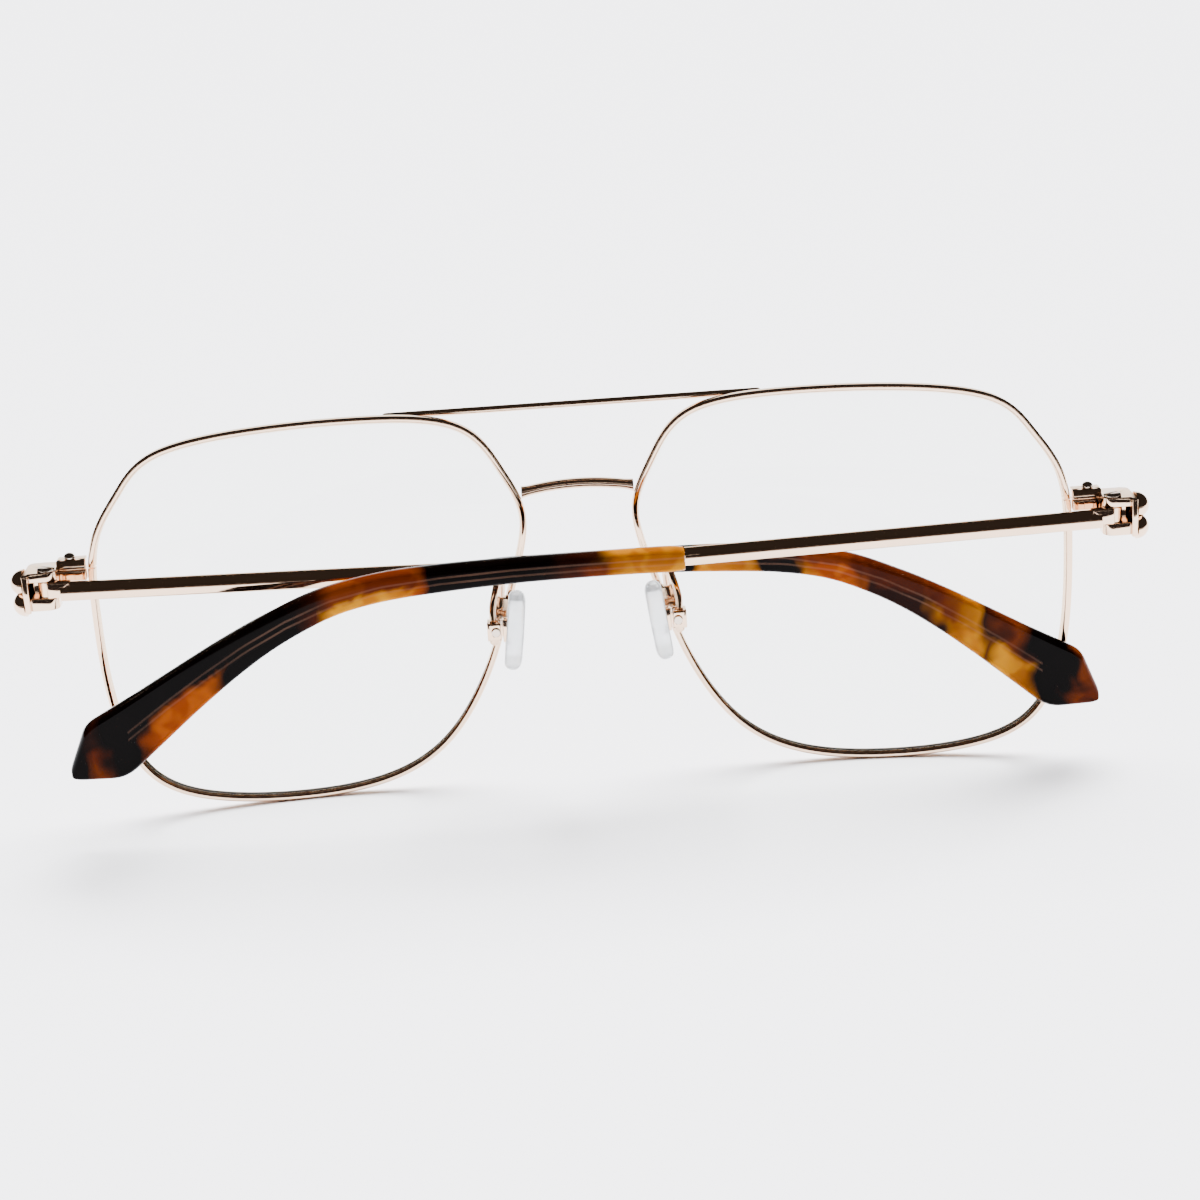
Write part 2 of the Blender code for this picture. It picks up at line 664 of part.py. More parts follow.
def make_pad_mount(side, metal, steel):
    """Block behind the rim with its screw, the foot soldered under it, and the wire arm."""
    sign = SIDES[side]
    tilt = Matrix.Rotation(math.radians(-sign * MOUNT_TILT), 3, "Y")
    centre = Vector((sign * MOUNT_CENTRE[0], MOUNT_CENTRE[1], MOUNT_CENTRE[2]))
    block = add("pad_mount_block_" + side, box(centre, MOUNT_SIZE, BLOCK_BEVEL, tilt), metal, root)
    back = MOUNT_SIZE[1] / 2
    seat = centre + tilt @ Vector((0, 0, MOUNT_SCREW_Z))
    hole = cylinder(PAD_SCREW_RADIUS + GAP, back - 1.5, back + 1, seat, (0, -1, 0), 16)
    combine(block, hole, "DIFFERENCE", "pad_mount_hole_" + side)
    under = back + GAP
    top = under + MOUNT_HEAD_TALL
    r = MOUNT_HEAD_RADIUS
    shank = PAD_SCREW_RADIUS
    profile = [(r - 0.13, top), (r, top - 0.15), (r, under), (shank, under), (shank, back - 1.4)]
    screw = turned("pad_mount_screw_" + side, profile, seat, (0, -1, 0), steel, root, 20)
    slot = box((seat.x, seat.y - top, seat.z), (2, 0.3, 0.22))
    combine(screw, slot, "DIFFERENCE", "pad_mount_slot_" + side)
    lean = Matrix.Rotation(math.radians(-sign * FOOT_TILT), 3, "Y")
    foot = box((sign * FOOT_CENTRE[0], FOOT_CENTRE[1], FOOT_CENTRE[2]), FOOT_SIZE, FOOT_BEVEL, lean)
    add("pad_mount_foot_" + side, foot, metal, root)
    path = [catmull(ARM_PATH, i / ARM_STEPS) for i in range(ARM_STEPS + 1)]
    points = [(sign * p.x, p.y, p.z) for p in path]
    wire("pad_arm_" + side, points, [ARM_RADIUS] * len(points), metal, root, 12)


def make_pad(side, metal, steel, silicone):
    """Rocking box on the arm, its screw, and the pad with the metal lug that is moulded into it."""
    sign = SIDES[side]
    pivot = Vector((sign * PIVOT[0], PIVOT[1], PIVOT[2]))
    centre = pivot + Vector((sign * PAD_BOX_SHIFT, 0, 0))
    housing = add("pad_box_" + side, box(centre, PAD_BOX_SIZE, BLOCK_BEVEL), metal, root)
    slot = box(pivot - Vector((sign * 0.6, 0, 0)), (2.6, SLOT_WIDTH, 4))
    combine(housing, slot, "DIFFERENCE", "pad_slot_" + side)
    reach = PAD_BOX_SIZE[1] / 2
    hole = cylinder(PAD_SCREW_RADIUS + GAP, -3, 3, pivot, (0, -1, 0), 16)
    combine(housing, hole, "DIFFERENCE", "pad_box_hole_" + side)
    r = PAD_SCREW_RADIUS
    profile = [(r + 0.15, reach + 0.3), (r + 0.25, reach + GAP), (r, reach + GAP), (r, -reach)]
    turned("pad_screw_" + side, profile, pivot, (0, -1, 0), steel, root, 16)

    frame = empty(side + "_pad", root, Matrix.Translation(pivot * MM))
    tilt = Matrix.Rotation(math.radians(-PAD_TILT), 3, "Y")
    middle = Vector(PAD_CENTRE) - Vector(PIVOT)
    rings = []
    for out, scale in PAD_PROFILE:
        ring = []
        for k in range(28):
            a = math.tau * k / 28
            z = math.sin(a) * PAD_HALF[2] * scale
            y = math.cos(a) * PAD_HALF[1] * scale * (1 - PAD_TAPER * math.sin(a))
            ring.append(middle + tilt @ Vector((out * PAD_HALF[0], y, z)))
        rings.append(ring)
    pad = add("nose_pad_" + side, flip(loft(rings), sign), silicone, frame)
    socket = Vector((sign * LUG_PLATE_X, 0, 0))
    pocket = box(socket, [size + 2 * GAP for size in LUG_PLATE])
    combine(pad, pocket, "DIFFERENCE", "pad_pocket_" + side)
    lug = add("pad_lug_" + side, box(socket, LUG_PLATE, 0.1), metal, frame)
    neck = box(socket / 2, (abs(socket.x), LUG_THICK - 0.1, 1.1))
    combine(lug, neck, "UNION", "lug_neck_" + side)
    eye = cylinder(LUG_EYE, -LUG_THICK / 2, LUG_THICK / 2, (0, 0, 0), (0, -1, 0), 20)
    combine(lug, eye, "UNION", "lug_eye_" + side)
    bore = cylinder(PAD_SCREW_RADIUS + RUNNING, -2, 2, (0, 0, 0), (0, -1, 0), 16)
    combine(lug, bore, "DIFFERENCE", "lug_bore_" + side)


clear_scene()
parts = bpy.data.collections.new("eyeglasses")
cutters = bpy.data.collections.new("cutters")
bpy.context.scene.collection.children.link(parts)
bpy.context.scene.collection.children.link(cutters)
root = empty("face_frame", None, Matrix.Translation(Vector(ROOT_SHIFT) * MM))

rose_gold = make_material("rose_gold", (0.83, 0.62, 0.50), 1.0, 0.14)
screw_steel = make_material("screw_steel", (0.62, 0.60, 0.58), 1.0, 0.25)
clear_lens = make_material("clear_lens", (0.93, 0.95, 0.95), 0.0, 0.02, 0.18)
clear_silicone = make_material("clear_silicone", (0.86, 0.88, 0.88), 0.0, 0.25, 0.6)
tortoise = make_material("tortoise_acetate", (0.22, 0.10, 0.035), 0.0, 0.12)

rim_points, rim_normals = rim_path()
for name_of_side, sign_of_side in SIDES.items():
    add("rim_" + name_of_side, make_rim(sign_of_side, rim_points, rim_normals), rose_gold, root)
    add("lens_" + name_of_side, make_lens(sign_of_side, rim_points, rim_normals), clear_lens, root)
    make_closing_blocks(name_of_side, rose_gold, screw_steel)
    make_hinge(name_of_side, rose_gold, screw_steel)
    make_ornament("ornament_" + name_of_side, sign_of_side, rose_gold)
    make_pad_mount(name_of_side, rose_gold, screw_steel)
    make_pad(name_of_side, rose_gold, screw_steel, clear_silicone)
    make_temple(name_of_side, rose_gold, tortoise)
make_brow_bar(rose_gold)
add("bridge", make_bridge(), rose_gold, root)
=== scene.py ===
"""Looks of the folded metal eyeglasses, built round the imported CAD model.

Pieces are drawn in millimetres in the same frames as the CAD: the face frame (X across, +X at the
wearer's right, +Y forward, +Z up, origin on the bridge's centre line at the lenses' mid height), the
hinge frame of each temple (s back along the temple, t outward, h up) and the pivot frame of each pad."""

import json  # noqa: E402
import math  # noqa: E402

import bmesh  # noqa: E402
import bpy  # noqa: E402
import numpy as np  # noqa: E402
from mathutils import Matrix, Vector  # noqa: E402


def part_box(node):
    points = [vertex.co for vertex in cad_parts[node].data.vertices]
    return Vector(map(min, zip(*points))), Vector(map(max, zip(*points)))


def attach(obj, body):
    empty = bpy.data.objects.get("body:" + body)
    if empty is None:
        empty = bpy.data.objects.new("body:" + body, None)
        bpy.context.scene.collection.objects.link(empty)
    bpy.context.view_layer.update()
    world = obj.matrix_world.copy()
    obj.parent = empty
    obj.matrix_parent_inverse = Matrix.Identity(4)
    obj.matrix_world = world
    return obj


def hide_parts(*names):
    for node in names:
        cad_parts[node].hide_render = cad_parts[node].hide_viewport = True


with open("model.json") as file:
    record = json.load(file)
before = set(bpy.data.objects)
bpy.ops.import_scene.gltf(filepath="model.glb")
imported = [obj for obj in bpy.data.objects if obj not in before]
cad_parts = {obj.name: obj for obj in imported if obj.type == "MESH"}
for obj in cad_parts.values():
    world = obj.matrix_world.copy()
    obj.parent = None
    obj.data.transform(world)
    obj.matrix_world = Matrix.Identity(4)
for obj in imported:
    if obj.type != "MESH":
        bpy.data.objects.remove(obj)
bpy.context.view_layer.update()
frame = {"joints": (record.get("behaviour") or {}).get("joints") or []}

MM = 0.001
GAP = 0.08
SIDES = {"right": 1, "left": -1}
JOINTS = {joint["name"]: joint for joint in frame["joints"]}

# Front
LENS_X = 36.3
OUTLINE = [
    (64.9, 3.0), (64.6, 13.4), (59.9, 19.2), (56.3, 24.8), (41.5, 26.1), (27.8, 26.3),
    (13.6, 25.7), (9.9, 17.8), (6.3, 11.7), (9.9, 1.2), (12.9, -9.6), (19.2, -20.2),
    (27.9, -24.9), (38.9, -26.0), (51.3, -25.1), (61.0, -21.3), (64.6, -9.8),
]
OUTLINE_STEPS = 288
FINE_STEPS = 3400
BASE_RADIUS = 130.0
APEX_Y = 1.43
WRAP = math.tan(math.radians(3.5))
RIM_WIDTH = 0.95
RIM_DEPTH = 1.6
RIM_OUTER_CORNER = 0.46
RIM_INNER_CORNER = 0.34
GROOVE_WIDTH = 0.9
GROOVE_DEPTH = 0.375
RIM_SPLIT_Z = 9.6
LENS_THICKNESS = 1.6
LENS_BEVEL = 0.08
LENS_RINGS = (0.03, 0.1, 0.2, 0.3, 0.4, 0.5, 0.6, 0.7, 0.8, 0.88, 0.95, 0.995)
BROW_BAR_RADIUS = 0.45
BROW_BAR_HALF = 25.0
BROW_BAR_Y = 0.36
BROW_BAR_Z = 26.1
BRIDGE_HALF = 7.44
BRIDGE_Z = 14.8
BRIDGE_RISE = 0.55
BRIDGE_Y = -0.85
BRIDGE_BOW = 0.9
BRIDGE_TALL = 1.3
BRIDGE_DEEP = 1.6
BRIDGE_FLARE = 0.25  # how much taller the bridge grows at its ends
BRIDGE_FLARE_START = 0.8
BRIDGE_SQUARENESS = 0.7  # 1 is an ellipse, and less is squarer

# Closing blocks, end pieces and ornaments
BLOCK_X = (65.2, 69.0)
BLOCK_Y = (-5.0, -2.6)
BLOCK_Z = (8.1, 10.9)
BLOCK_LEAN = 0.28
BLOCK_EDGE = 0.14
SMALL_EDGE = 0.12
CLOSING_SCREW_XY = (67.3, -3.8)
CLOSING_SCREW_RADIUS = 0.45
CLOSING_HEAD_RADIUS = 0.75
HINGE_XY = (70.0, -6.6)
END_Z = (5.2, 10.35)
WINDOW_Z = (6.9, 9.1)
WINDOW_FRONT_Y = -5.25
EAR_RADIUS = 1.3
EAR_INNER_X = 68.7
WALL_X = (72.15, 72.9)
PLATE_FRONT_Y = -2.7
WALL_REAR_Y = -8.9
CORNER_RADIUS = 1.1
END_EDGE = 0.13
HINGE_SCREW_RADIUS = 0.5
HINGE_HEAD_RADIUS = 1.15
BARREL_RADIUS = 1.25
RUNNING = 0.06
LOBE_SIZE = (1.75, 2.25, 1.68)
LOBE_Y = -6.75
LOBE_Z = (9.0, 6.1)
DRIVER_SLOT = (3.0, 0.26, 0.36)

# Temples
TEMPLE_H = 7.95
BAR_H = (7.75, 7.85)
BAR_TALL = (2.45, 2.35)
BAR_THICK = (1.2, 1.1)
BAR_RIDGE = -0.08  # height of the ridge along the bar's outer face, as a share of its half height
BAR_DOME = (0.46, 0.2)  # how far the face falls away above the ridge and below it
BAR_DOME_POWER = 1.15
BAR_CORNER = 0.2
BAR_T = 1.3
BAR_START = 1.9
NECK_T = (0.25, 1.65)
NECK_END = 3.1
SLEEVE_START = 57.4
CORE_START = 2.0
CORE_END = 130.5
CORE_TALL = 1.2
CORE_THICK = 0.9
CORE_INSIDE = 0.3
TEMPLE_DROP = 0.27
BOW_START = 50.0
BOW = 0.0015
TIP_THICK = 2.8
TIP_EDGE = 0.75
MOUTH_LENGTH = 0.5
MOUTH_THICK = 0.82  # as a share of the sleeve's thickness
TIP_UPPER = [
    (57.4, 9.2), (59.5, 9.45), (65.0, 9.55), (72.0, 9.65), (80.0, 9.7), (89.5, 9.5), (97.5, 8.85),
    (105.0, 7.15), (111.5, 4.45), (117.5, 1.45), (123.5, -1.95), (129.0, -5.15),
]
TIP_LOWER = [
    (57.4, 6.1), (59.5, 6.05), (65.0, 6.2), (72.0, 6.3), (80.0, 6.25), (88.5, 5.85), (95.5, 5.25),
    (101.5, 4.05), (106.5, 2.05), (111.5, -0.7), (116.5, -4.2), (121.5, -8.2),
]
TIP_SHOULDERS = ((136.0, -9.0), (131.2, -16.6))
TIP_SHOULDER_RADII = (1.3, 2.0)
TIP_POINT = (139.2, -16.7)
TIP_POINT_RADIUS = 2.6
TIP_POINT_THICK = 0.62
EDGE_STEPS = 110
TURN_STEPS = 14
POINT_STEPS = 22
REST_FOLD = {"right": 5.2, "left": 1.6}
REST_PLAY = {"right": 0.53, "left": -0.53}

# Nose pads
MOUNT_CENTRE = (11.35, -1.8, -1.3)
MOUNT_SIZE = (2.0, 2.5, 4.2)
MOUNT_TILT = 13.0
MOUNT_LEAN = 0.85
MOUNT_SCREW_Z = -0.7
MOUNT_SCREW_RADIUS = 0.35
FOOT_CENTRE = (12.2, -1.25, -4.85)
FOOT_SIZE = (1.3, 1.5, 2.5)
FOOT_TILT = 24.0
FOOT_EDGE = 0.42
ARM_RADIUS = 0.45
ARM_STEPS = 60
ARM_PATH = [
    (11.1, -1.9, 1.02), (10.95, -2.3, 3.0), (11.1, -3.7, 4.3), (11.4, -5.3, 4.1),
    (11.9, -6.7, 2.7), (12.3, -7.6, 1.0), (12.3, -8.0, -0.42),
]
PAD_CENTRE = (9.5, -8.0, -1.9)
PAD_HALF = (1.15, 3.8, 5.45)
PAD_TILT = 7.5
PAD_FLATS = (0.68, 0.8)  # size of the flat on the pad's frame side and on its nose side
PIVOT = (12.0, -8.0, -1.7)
PAD_BOX_SIZE = (1.8, 2.3, 2.4)
PAD_BOX_SHIFT = 0.25
LUG_PLATE = (1.1, 2.0, 3.0)
LUG_PLATE_X = -1.45
SLOT_WIDTH = 1.16
LUG_THICK = 1.0
LUG_EYE = 0.65
PAD_SCREW_RADIUS = 0.35

# Camera: behind and a little above the glasses, in the face frame.
CAMERA_DOWN = math.radians(18.0)
CAMERA_TURN = 0.01515
CAMERA_ROLL = -0.0657
CAMERA_DISTANCE = 337.235
CAMERA_AIM = (2.04239, 0.0, -1.19336)
CAMERA_LENS = 75.0
CAMERA_SENSOR = 36.0

# Stage, in metres
FLOOR_SIZE = 12.0
FLAG_X = (-1.5, 1.5)
FLAG_Y = (-2.5, -0.118)
FLAG_LIFT = 0.001
SKY_AHEAD = (0.86, 0.93)
HORIZON = 0.02
SKY_STRENGTH = 3.0
SUN_STRENGTH = 21.0
SUN_ANGLE = math.radians(50)
SUN_TOWARDS = (-0.12, -0.45, -0.88)


# ---------------------------------------------------------------- mesh helpers


def face_place():
    """Matrix from the face frame, in millimetres, to the model's frame, in metres."""
    low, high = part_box("brow_bar")
    middle = (low + high) / 2
    origin = middle - Vector((0, BROW_BAR_Y, BROW_BAR_Z)) * MM
    return Matrix.Translation(origin) @ Matrix.Scale(MM, 4)


def loft(rings, closed=False):
    """Skin over rings that have the same number of points."""
    bm = bmesh.new()
    rows = [[bm.verts.new(point) for point in ring] for ring in rings]
    count = len(rows[0])
    pairs = list(zip(rows, rows[1:]))
    if closed:
        pairs.append((rows[-1], rows[0]))
    for one, two in pairs:
        for i in range(count):
            j = (i + 1) % count
            bm.faces.new((one[i], one[j], two[j], two[i]))
    if not closed:
        bm.faces.new(rows[0])
        bm.faces.new(rows[-1])
    bmesh.ops.recalc_face_normals(bm, faces=bm.faces)
    return bm


def box(centre, size, rotation=None):
    """A box with its middle at centre, turned about that middle."""
    bm = bmesh.new()
    bmesh.ops.create_cube(bm, size=1.0)
    bmesh.ops.scale(bm, vec=size, verts=bm.verts)
    if rotation:
        bmesh.ops.rotate(bm, matrix=rotation, verts=bm.verts)
    bmesh.ops.translate(bm, vec=centre, verts=bm.verts)
    return bm


def box_between(low, high):
    size = [b - a for a, b in zip(low, high)]
    centre = [(a + b) / 2 for a, b in zip(low, high)]
    return box(centre, size)


def turned(profile, base, axis, steps=64):
    """A round solid: profile is (radius, height) pairs up the axis from base, and its ends are flat."""
    turn = Vector((0, 0, 1)).rotation_difference(Vector(axis)).to_matrix()
    rings = []
    for radius, height in profile:
        ring = []
        for i in range(steps):
            a = math.tau * i / steps
            point = Vector((radius * math.cos(a), radius * math.sin(a), height))
            ring.append(turn @ point + Vector(base))
        rings.append(ring)
    return loft(rings)


def taper(bm, top, amount):
    """Lean the rear face: its points above this height move forward by amount."""
    rear = min(vert.co.y for vert in bm.verts)
    for vert in bm.verts:
        if vert.co.z > top and vert.co.y < rear + 0.01:
            vert.co.y += amount
    return bm


def prism(outline, low, high):
    """An upright solid with this plan, from low to high."""
    return loft([[(x, y, low) for x, y in outline], [(x, y, high) for x, y in outline]])


def around(steps):
    """Even angles round a circle."""
    return np.arange(steps) * math.tau / steps


def tube(points, radius):
    """A round wire along the points, with flat ends."""
    rings = []
    last = len(points) - 1
    for i, p in enumerate(points):
        along = (points[min(i + 1, last)] - points[max(i - 1, 0)]).normalized()
        first = along.cross(Vector((1, 0.01, 0))).normalized()
        second = along.cross(first)
        rings.append([p + (first * math.cos(a) + second * math.sin(a)) * radius for a in around(24)])
    return loft(rings)


def flip(bm, side):
    """Mirror to the other side of the face."""
    if side < 0:
        bmesh.ops.scale(bm, vec=(-1, 1, 1), verts=bm.verts)
        bmesh.ops.reverse_faces(bm, faces=bm.faces)
    return bm


def temporary(bm):
    mesh = bpy.data.meshes.new("temporary")
    bm.to_mesh(mesh)
    bm.free()
    made = bpy.data.objects.new("temporary", mesh)
    bpy.context.scene.collection.objects.link(made)
    return made


def evaluated(obj):
    """The object's mesh with its modifiers applied, as a bmesh, and the object removed."""
    graph = bpy.context.evaluated_depsgraph_get()
    mesh = bpy.data.meshes.new_from_object(obj.evaluated_get(graph))
    bm = bmesh.new()
    bm.from_mesh(mesh)
    bpy.data.meshes.remove(mesh)
    old = obj.data
    bpy.data.objects.remove(obj)
    bpy.data.meshes.remove(old)
    return bm


def combine(bm, *steps):
    """Booleans one after another: each step is (operation, cutter)."""
    for operation, cutter in steps:
        target = temporary(bm)
        other = temporary(cutter)
        modifier = target.modifiers.new("cut", "BOOLEAN")
        modifier.operation = operation
        modifier.solver = "EXACT"
        modifier.object = other
        bm = evaluated(target)
        old = other.data
        bpy.data.objects.remove(other)
        bpy.data.meshes.remove(old)
    return bm


def softened(bm, width, segments=3):
    """Round over the edges that turn by more than 35 degrees."""
    bmesh.ops.dissolve_limit(bm, angle_limit=math.radians(0.5), verts=bm.verts, edges=bm.edges)
    target = temporary(bm)
    modifier = target.modifiers.new("soften", "BEVEL")
    modifier.width = width
    modifier.segments = segments
    modifier.limit_method = "ANGLE"
    modifier.angle_limit = math.radians(35)
    modifier.use_clamp_overlap = True
    return evaluated(target)


def piece(name, bm, material, body, place, stands_for):
    """Makes the object with its material, hangs it on the empty of the body it rides on and hides the CAD
    nodes it replaces.
    """
    bmesh.ops.triangulate(bm, faces=[f for f in bm.faces if len(f.verts) > 4])
    mesh = bpy.data.meshes.new(name)
    bm.to_mesh(mesh)
    bm.free()
    mesh.transform(place)
    mesh.materials.append(material)
    mesh.polygons.foreach_set("use_smooth", [True] * len(mesh.polygons))
    mesh.set_sharp_from_angle(angle=math.radians(40))
    made = bpy.data.objects.new(name, mesh)
    bpy.context.scene.collection.objects.link(made)
    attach(made, body)
    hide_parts(*stands_for)


def b_spline(points, t):
    """Place t, in steps from one control point to the next, on a closed cubic B-spline."""
    i = int(math.floor(t))
    f = t - i
    weights = ((1 - f) ** 3, 3 * f**3 - 6 * f**2 + 4, -3 * f**3 + 3 * f**2 + 3 * f + 1, f**3)
    found = Vector((0, 0))
    for k, weight in enumerate(weights):
        found += weight / 6 * Vector(points[(i + k - 1) % len(points)])
    return found


def catmull(points, t):
    """Place t, from 0 to 1, on an open Catmull-Rom curve through the points."""
    span = t * (len(points) - 1)
    i = min(int(span), len(points) - 2)
    f = span - i
    a, b, c, d = (Vector(points[min(max(i + k, 0), len(points) - 1)]) for k in (-1, 0, 1, 2))
    return 0.5 * (2 * b + (c - a) * f + (2 * a - 5 * b + 4 * c - d) * f**2 + (3 * b - a - 3 * c + d) * f**3)


def spaced(points, count):
    """This many even steps along a line of points."""
    run = [0.0]
    for a, b in zip(points, points[1:]):
        run.append(run[-1] + (b - a).length)
    found = []
    k = 0
    for i in range(count + 1):
        want = run[-1] * i / count
        while k < len(points) - 2 and run[k + 1] < want:
            k += 1
        found.append(points[k].lerp(points[k + 1], (want - run[k]) / (run[k + 1] - run[k])))
    return found


# ---------------------------------------------------------------- materials


def new_material(name):
    made = bpy.data.materials.new(name)
    made.use_nodes = True
    nodes = made.node_tree.nodes
    links = made.node_tree.links
    return made, nodes, links, nodes["Principled BSDF"]


def noise(nodes, links, vector, scale, detail=3.0, roughness=0.55, distortion=0.0):
    made = nodes.new("ShaderNodeTexNoise")
    made.inputs["Scale"].default_value = scale
    made.inputs["Detail"].default_value = detail
    made.inputs["Roughness"].default_value = roughness
    made.inputs["Distortion"].default_value = distortion
    links.new(vector, made.inputs["Vector"])
    return made.outputs["Fac"]


def ramp(nodes, links, factor, stops):
    """A colour ramp: each stop is (position, colour)."""
    made = nodes.new("ShaderNodeValToRGB")
    elements = made.color_ramp.elements
    while len(elements) < len(stops):
        elements.new(0.5)
    for element, (position, colour) in zip(elements, stops):
        element.position = position
        element.color = (*colour, 1.0)
    links.new(factor, made.inputs["Fac"])
    return made.outputs["Color"]


def between(nodes, links, factor, low, high):
    """A factor from 0 to 1 as a value from low to high."""
    made = nodes.new("ShaderNodeMapRange")
    made.inputs["To Min"].default_value = low
    made.inputs["To Max"].default_value = high
    links.new(factor, made.inputs["Value"])
    return made.outputs["Result"]


def feed(links, value, socket):
    """Gives a socket its value, which is a number, a colour or an output to link."""
    if isinstance(value, tuple):
        socket.default_value = (*value, 1.0)
    elif isinstance(value, (int, float)):
        socket.default_value = value
    else:
        links.new(value, socket)


def maths(nodes, links, operation, *values):
    """A Math node: each value is a number or an output to link."""
    made = nodes.new("ShaderNodeMath")
    made.operation = operation
    for value, socket in zip(values, made.inputs):
        feed(links, value, socket)
    return made.outputs["Value"]


def smooth(nodes, links, value, low, high):
    """0 below low and 1 above high, eased between them."""
    made = nodes.new("ShaderNodeMapRange")
    made.interpolation_type = "SMOOTHSTEP"
    made.inputs["From Min"].default_value = low
    made.inputs["From Max"].default_value = high
    links.new(value, made.inputs["Value"])
    return made.outputs["Result"]


def blend(nodes, links, factor, one, two, mode="MIX"):
    """Mix of two colours: each is an output or a colour."""
    made = nodes.new("ShaderNodeMix")
    made.data_type = "RGBA"
    made.blend_type = mode
    feed(links, factor, made.inputs[0])
    feed(links, one, made.inputs[6])
    feed(links, two, made.inputs[7])
    return made.outputs[2]


def bump(nodes, links, height, strength, distance):
    made = nodes.new("ShaderNodeBump")
    made.inputs["Strength"].default_value = strength
    made.inputs["Distance"].default_value = distance
    links.new(height, made.inputs["Height"])
    return made.outputs["Normal"]


def polished_metal(name, colour, roughness, wear):
    """Plated metal: a polished coat with faint handling marks and a little unevenness from the buffing."""
    made, nodes, links, shader = new_material(name)
    where = nodes.new("ShaderNodeTexCoord").outputs["Object"]
    broad = noise(nodes, links, where, 90.0, 3.0)
    fine = noise(nodes, links, where, 2600.0, 2.0)
    dark = tuple(c * (1 - wear) for c in colour)
    links.new(ramp(nodes, links, broad, [(0.3, dark), (0.7, colour)]), shader.inputs["Base Color"])
    links.new(between(nodes, links, fine, roughness * 0.8, roughness * 1.35), shader.inputs["Roughness"])
    links.new(bump(nodes, links, fine, 0.05, 0.00002), shader.inputs["Normal"])
    shader.inputs["Metallic"].default_value = 1.0
    return made


def lens_material():
    """Clear coated resin: mostly see-through, with the faint reflection of an anti-glare coat."""
    made, nodes, links, shader = new_material("clear_lens")
    shader.inputs["Base Color"].default_value = (0.9, 0.96, 0.93, 1.0)
    shader.inputs["Roughness"].default_value = 0.02
    shader.inputs["IOR"].default_value = 1.5
    where = nodes.new("ShaderNodeTexCoord").outputs["Object"]
    smear = noise(nodes, links, where, 60.0, 4.0)
    fresnel = nodes.new("ShaderNodeFresnel")
    fresnel.inputs["IOR"].default_value = 1.35
    gloss = nodes.new("ShaderNodeBsdfGlossy")
    gloss.inputs["Color"].default_value = (0.86, 0.95, 0.9, 1.0)
    links.new(between(nodes, links, smear, 0.01, 0.05), gloss.inputs["Roughness"])
    clear = nodes.new("ShaderNodeBsdfTransparent")
    clear.inputs["Color"].default_value = (0.985, 0.992, 0.988, 1.0)
    mix = nodes.new("ShaderNodeMixShader")
    inside = nodes.new("ShaderNodeNewGeometry").outputs["Backfacing"]
    outside = maths(nodes, links, "SUBTRACT", 1.0, inside)
    links.new(maths(nodes, links, "MULTIPLY", fresnel.outputs["Fac"], outside), mix.inputs["Fac"])
    links.new(clear.outputs["BSDF"], mix.inputs[1])
    links.new(gloss.outputs["BSDF"], mix.inputs[2])
    links.new(mix.outputs["Shader"], nodes["Material Output"].inputs["Surface"])
    return made


def silicone_material():
    """Soft clear silicone with a slight haze and a satin skin."""
    made, nodes, links, shader = new_material("clear_silicone")
    where = nodes.new("ShaderNodeTexCoord").outputs["Object"]
    haze = noise(nodes, links, where, 500.0, 3.0)
    colour = ramp(nodes, links, haze, [(0.3, (0.86, 0.9, 0.93)), (0.7, (0.95, 0.97, 0.98))])
    links.new(colour, shader.inputs["Base Color"])
    links.new(between(nodes, links, haze, 0.16, 0.3), shader.inputs["Roughness"])
    shader.inputs["IOR"].default_value = 1.41
    shader.inputs["Transmission Weight"].default_value = 0.75
    shader.inputs["Subsurface Weight"].default_value = 0.2
    shader.inputs["Subsurface Radius"].default_value = (0.002, 0.002, 0.002)
    return made


# Colours of the acetate
BLACK = (0.001, 0.0005, 0.0004)
UMBER = (0.01, 0.002, 0.0008)
RED = (0.035, 0.005, 0.0007)
BROWN = (0.08, 0.013, 0.0007)
ORANGE = (0.24, 0.046, 0.0)
AMBER = (0.25, 0.085, 0.0)
YELLOW = (0.44, 0.17, 0.0)
VEIN_TINT = (0.72, 0.58, 0.5)
CORE_TINT = (0.3, 0.16, 0.11)

CLOUD_WANDER = 7.0  # mm that the clouds' ends wander along the sleeve
CORE_LINE = 0.4  # mm from the core's middle line to each of the two lines it shows as

# The clouds of each sleeve: where along it, in mm, and the colour there, in its upper and lower bands.
CLOUDS = {
    "right": (
        [
            (57.4, AMBER), (66.5, AMBER), (69.5, UMBER), (75, BLACK), (90, BLACK), (92.5, BROWN),
            (101, BROWN), (104, UMBER), (109, BLACK), (133, BLACK), (135, UMBER), (137, BLACK),
        ],
        [
            (57.4, YELLOW), (67, AMBER), (69, BROWN), (73, UMBER), (76, BLACK), (90, BLACK), (92, ORANGE),
            (95, YELLOW), (101, YELLOW), (104, RED), (108.5, BLACK), (117, BLACK), (119.5, ORANGE),
            (126.5, ORANGE), (128.5, BLACK), (133, BLACK), (135, BROWN), (137, BLACK),
        ],
    ),
    "left": (
        [
            (57.4, BLACK), (84, BLACK), (86, AMBER), (91, AMBER), (93, UMBER), (97, UMBER), (99, BROWN),
            (103, BROWN), (107, RED), (115, RED), (117, BROWN), (122, AMBER), (123.5, UMBER), (126, BROWN),
            (129.5, BLACK), (135, BLACK), (136, BROWN),
        ],
        [
            (57.4, UMBER), (84, BLACK), (86, YELLOW), (91, AMBER), (93, BLACK), (97, BLACK), (98.5, AMBER),
            (102, ORANGE), (105.5, ORANGE), (107.5, UMBER), (115, UMBER), (117, AMBER), (121.5, YELLOW),
            (123.3, RED), (125, YELLOW), (128.5, AMBER), (130.5, BLACK), (134, BLACK), (136, BROWN),
            (138, UMBER),
        ],
    ),
}


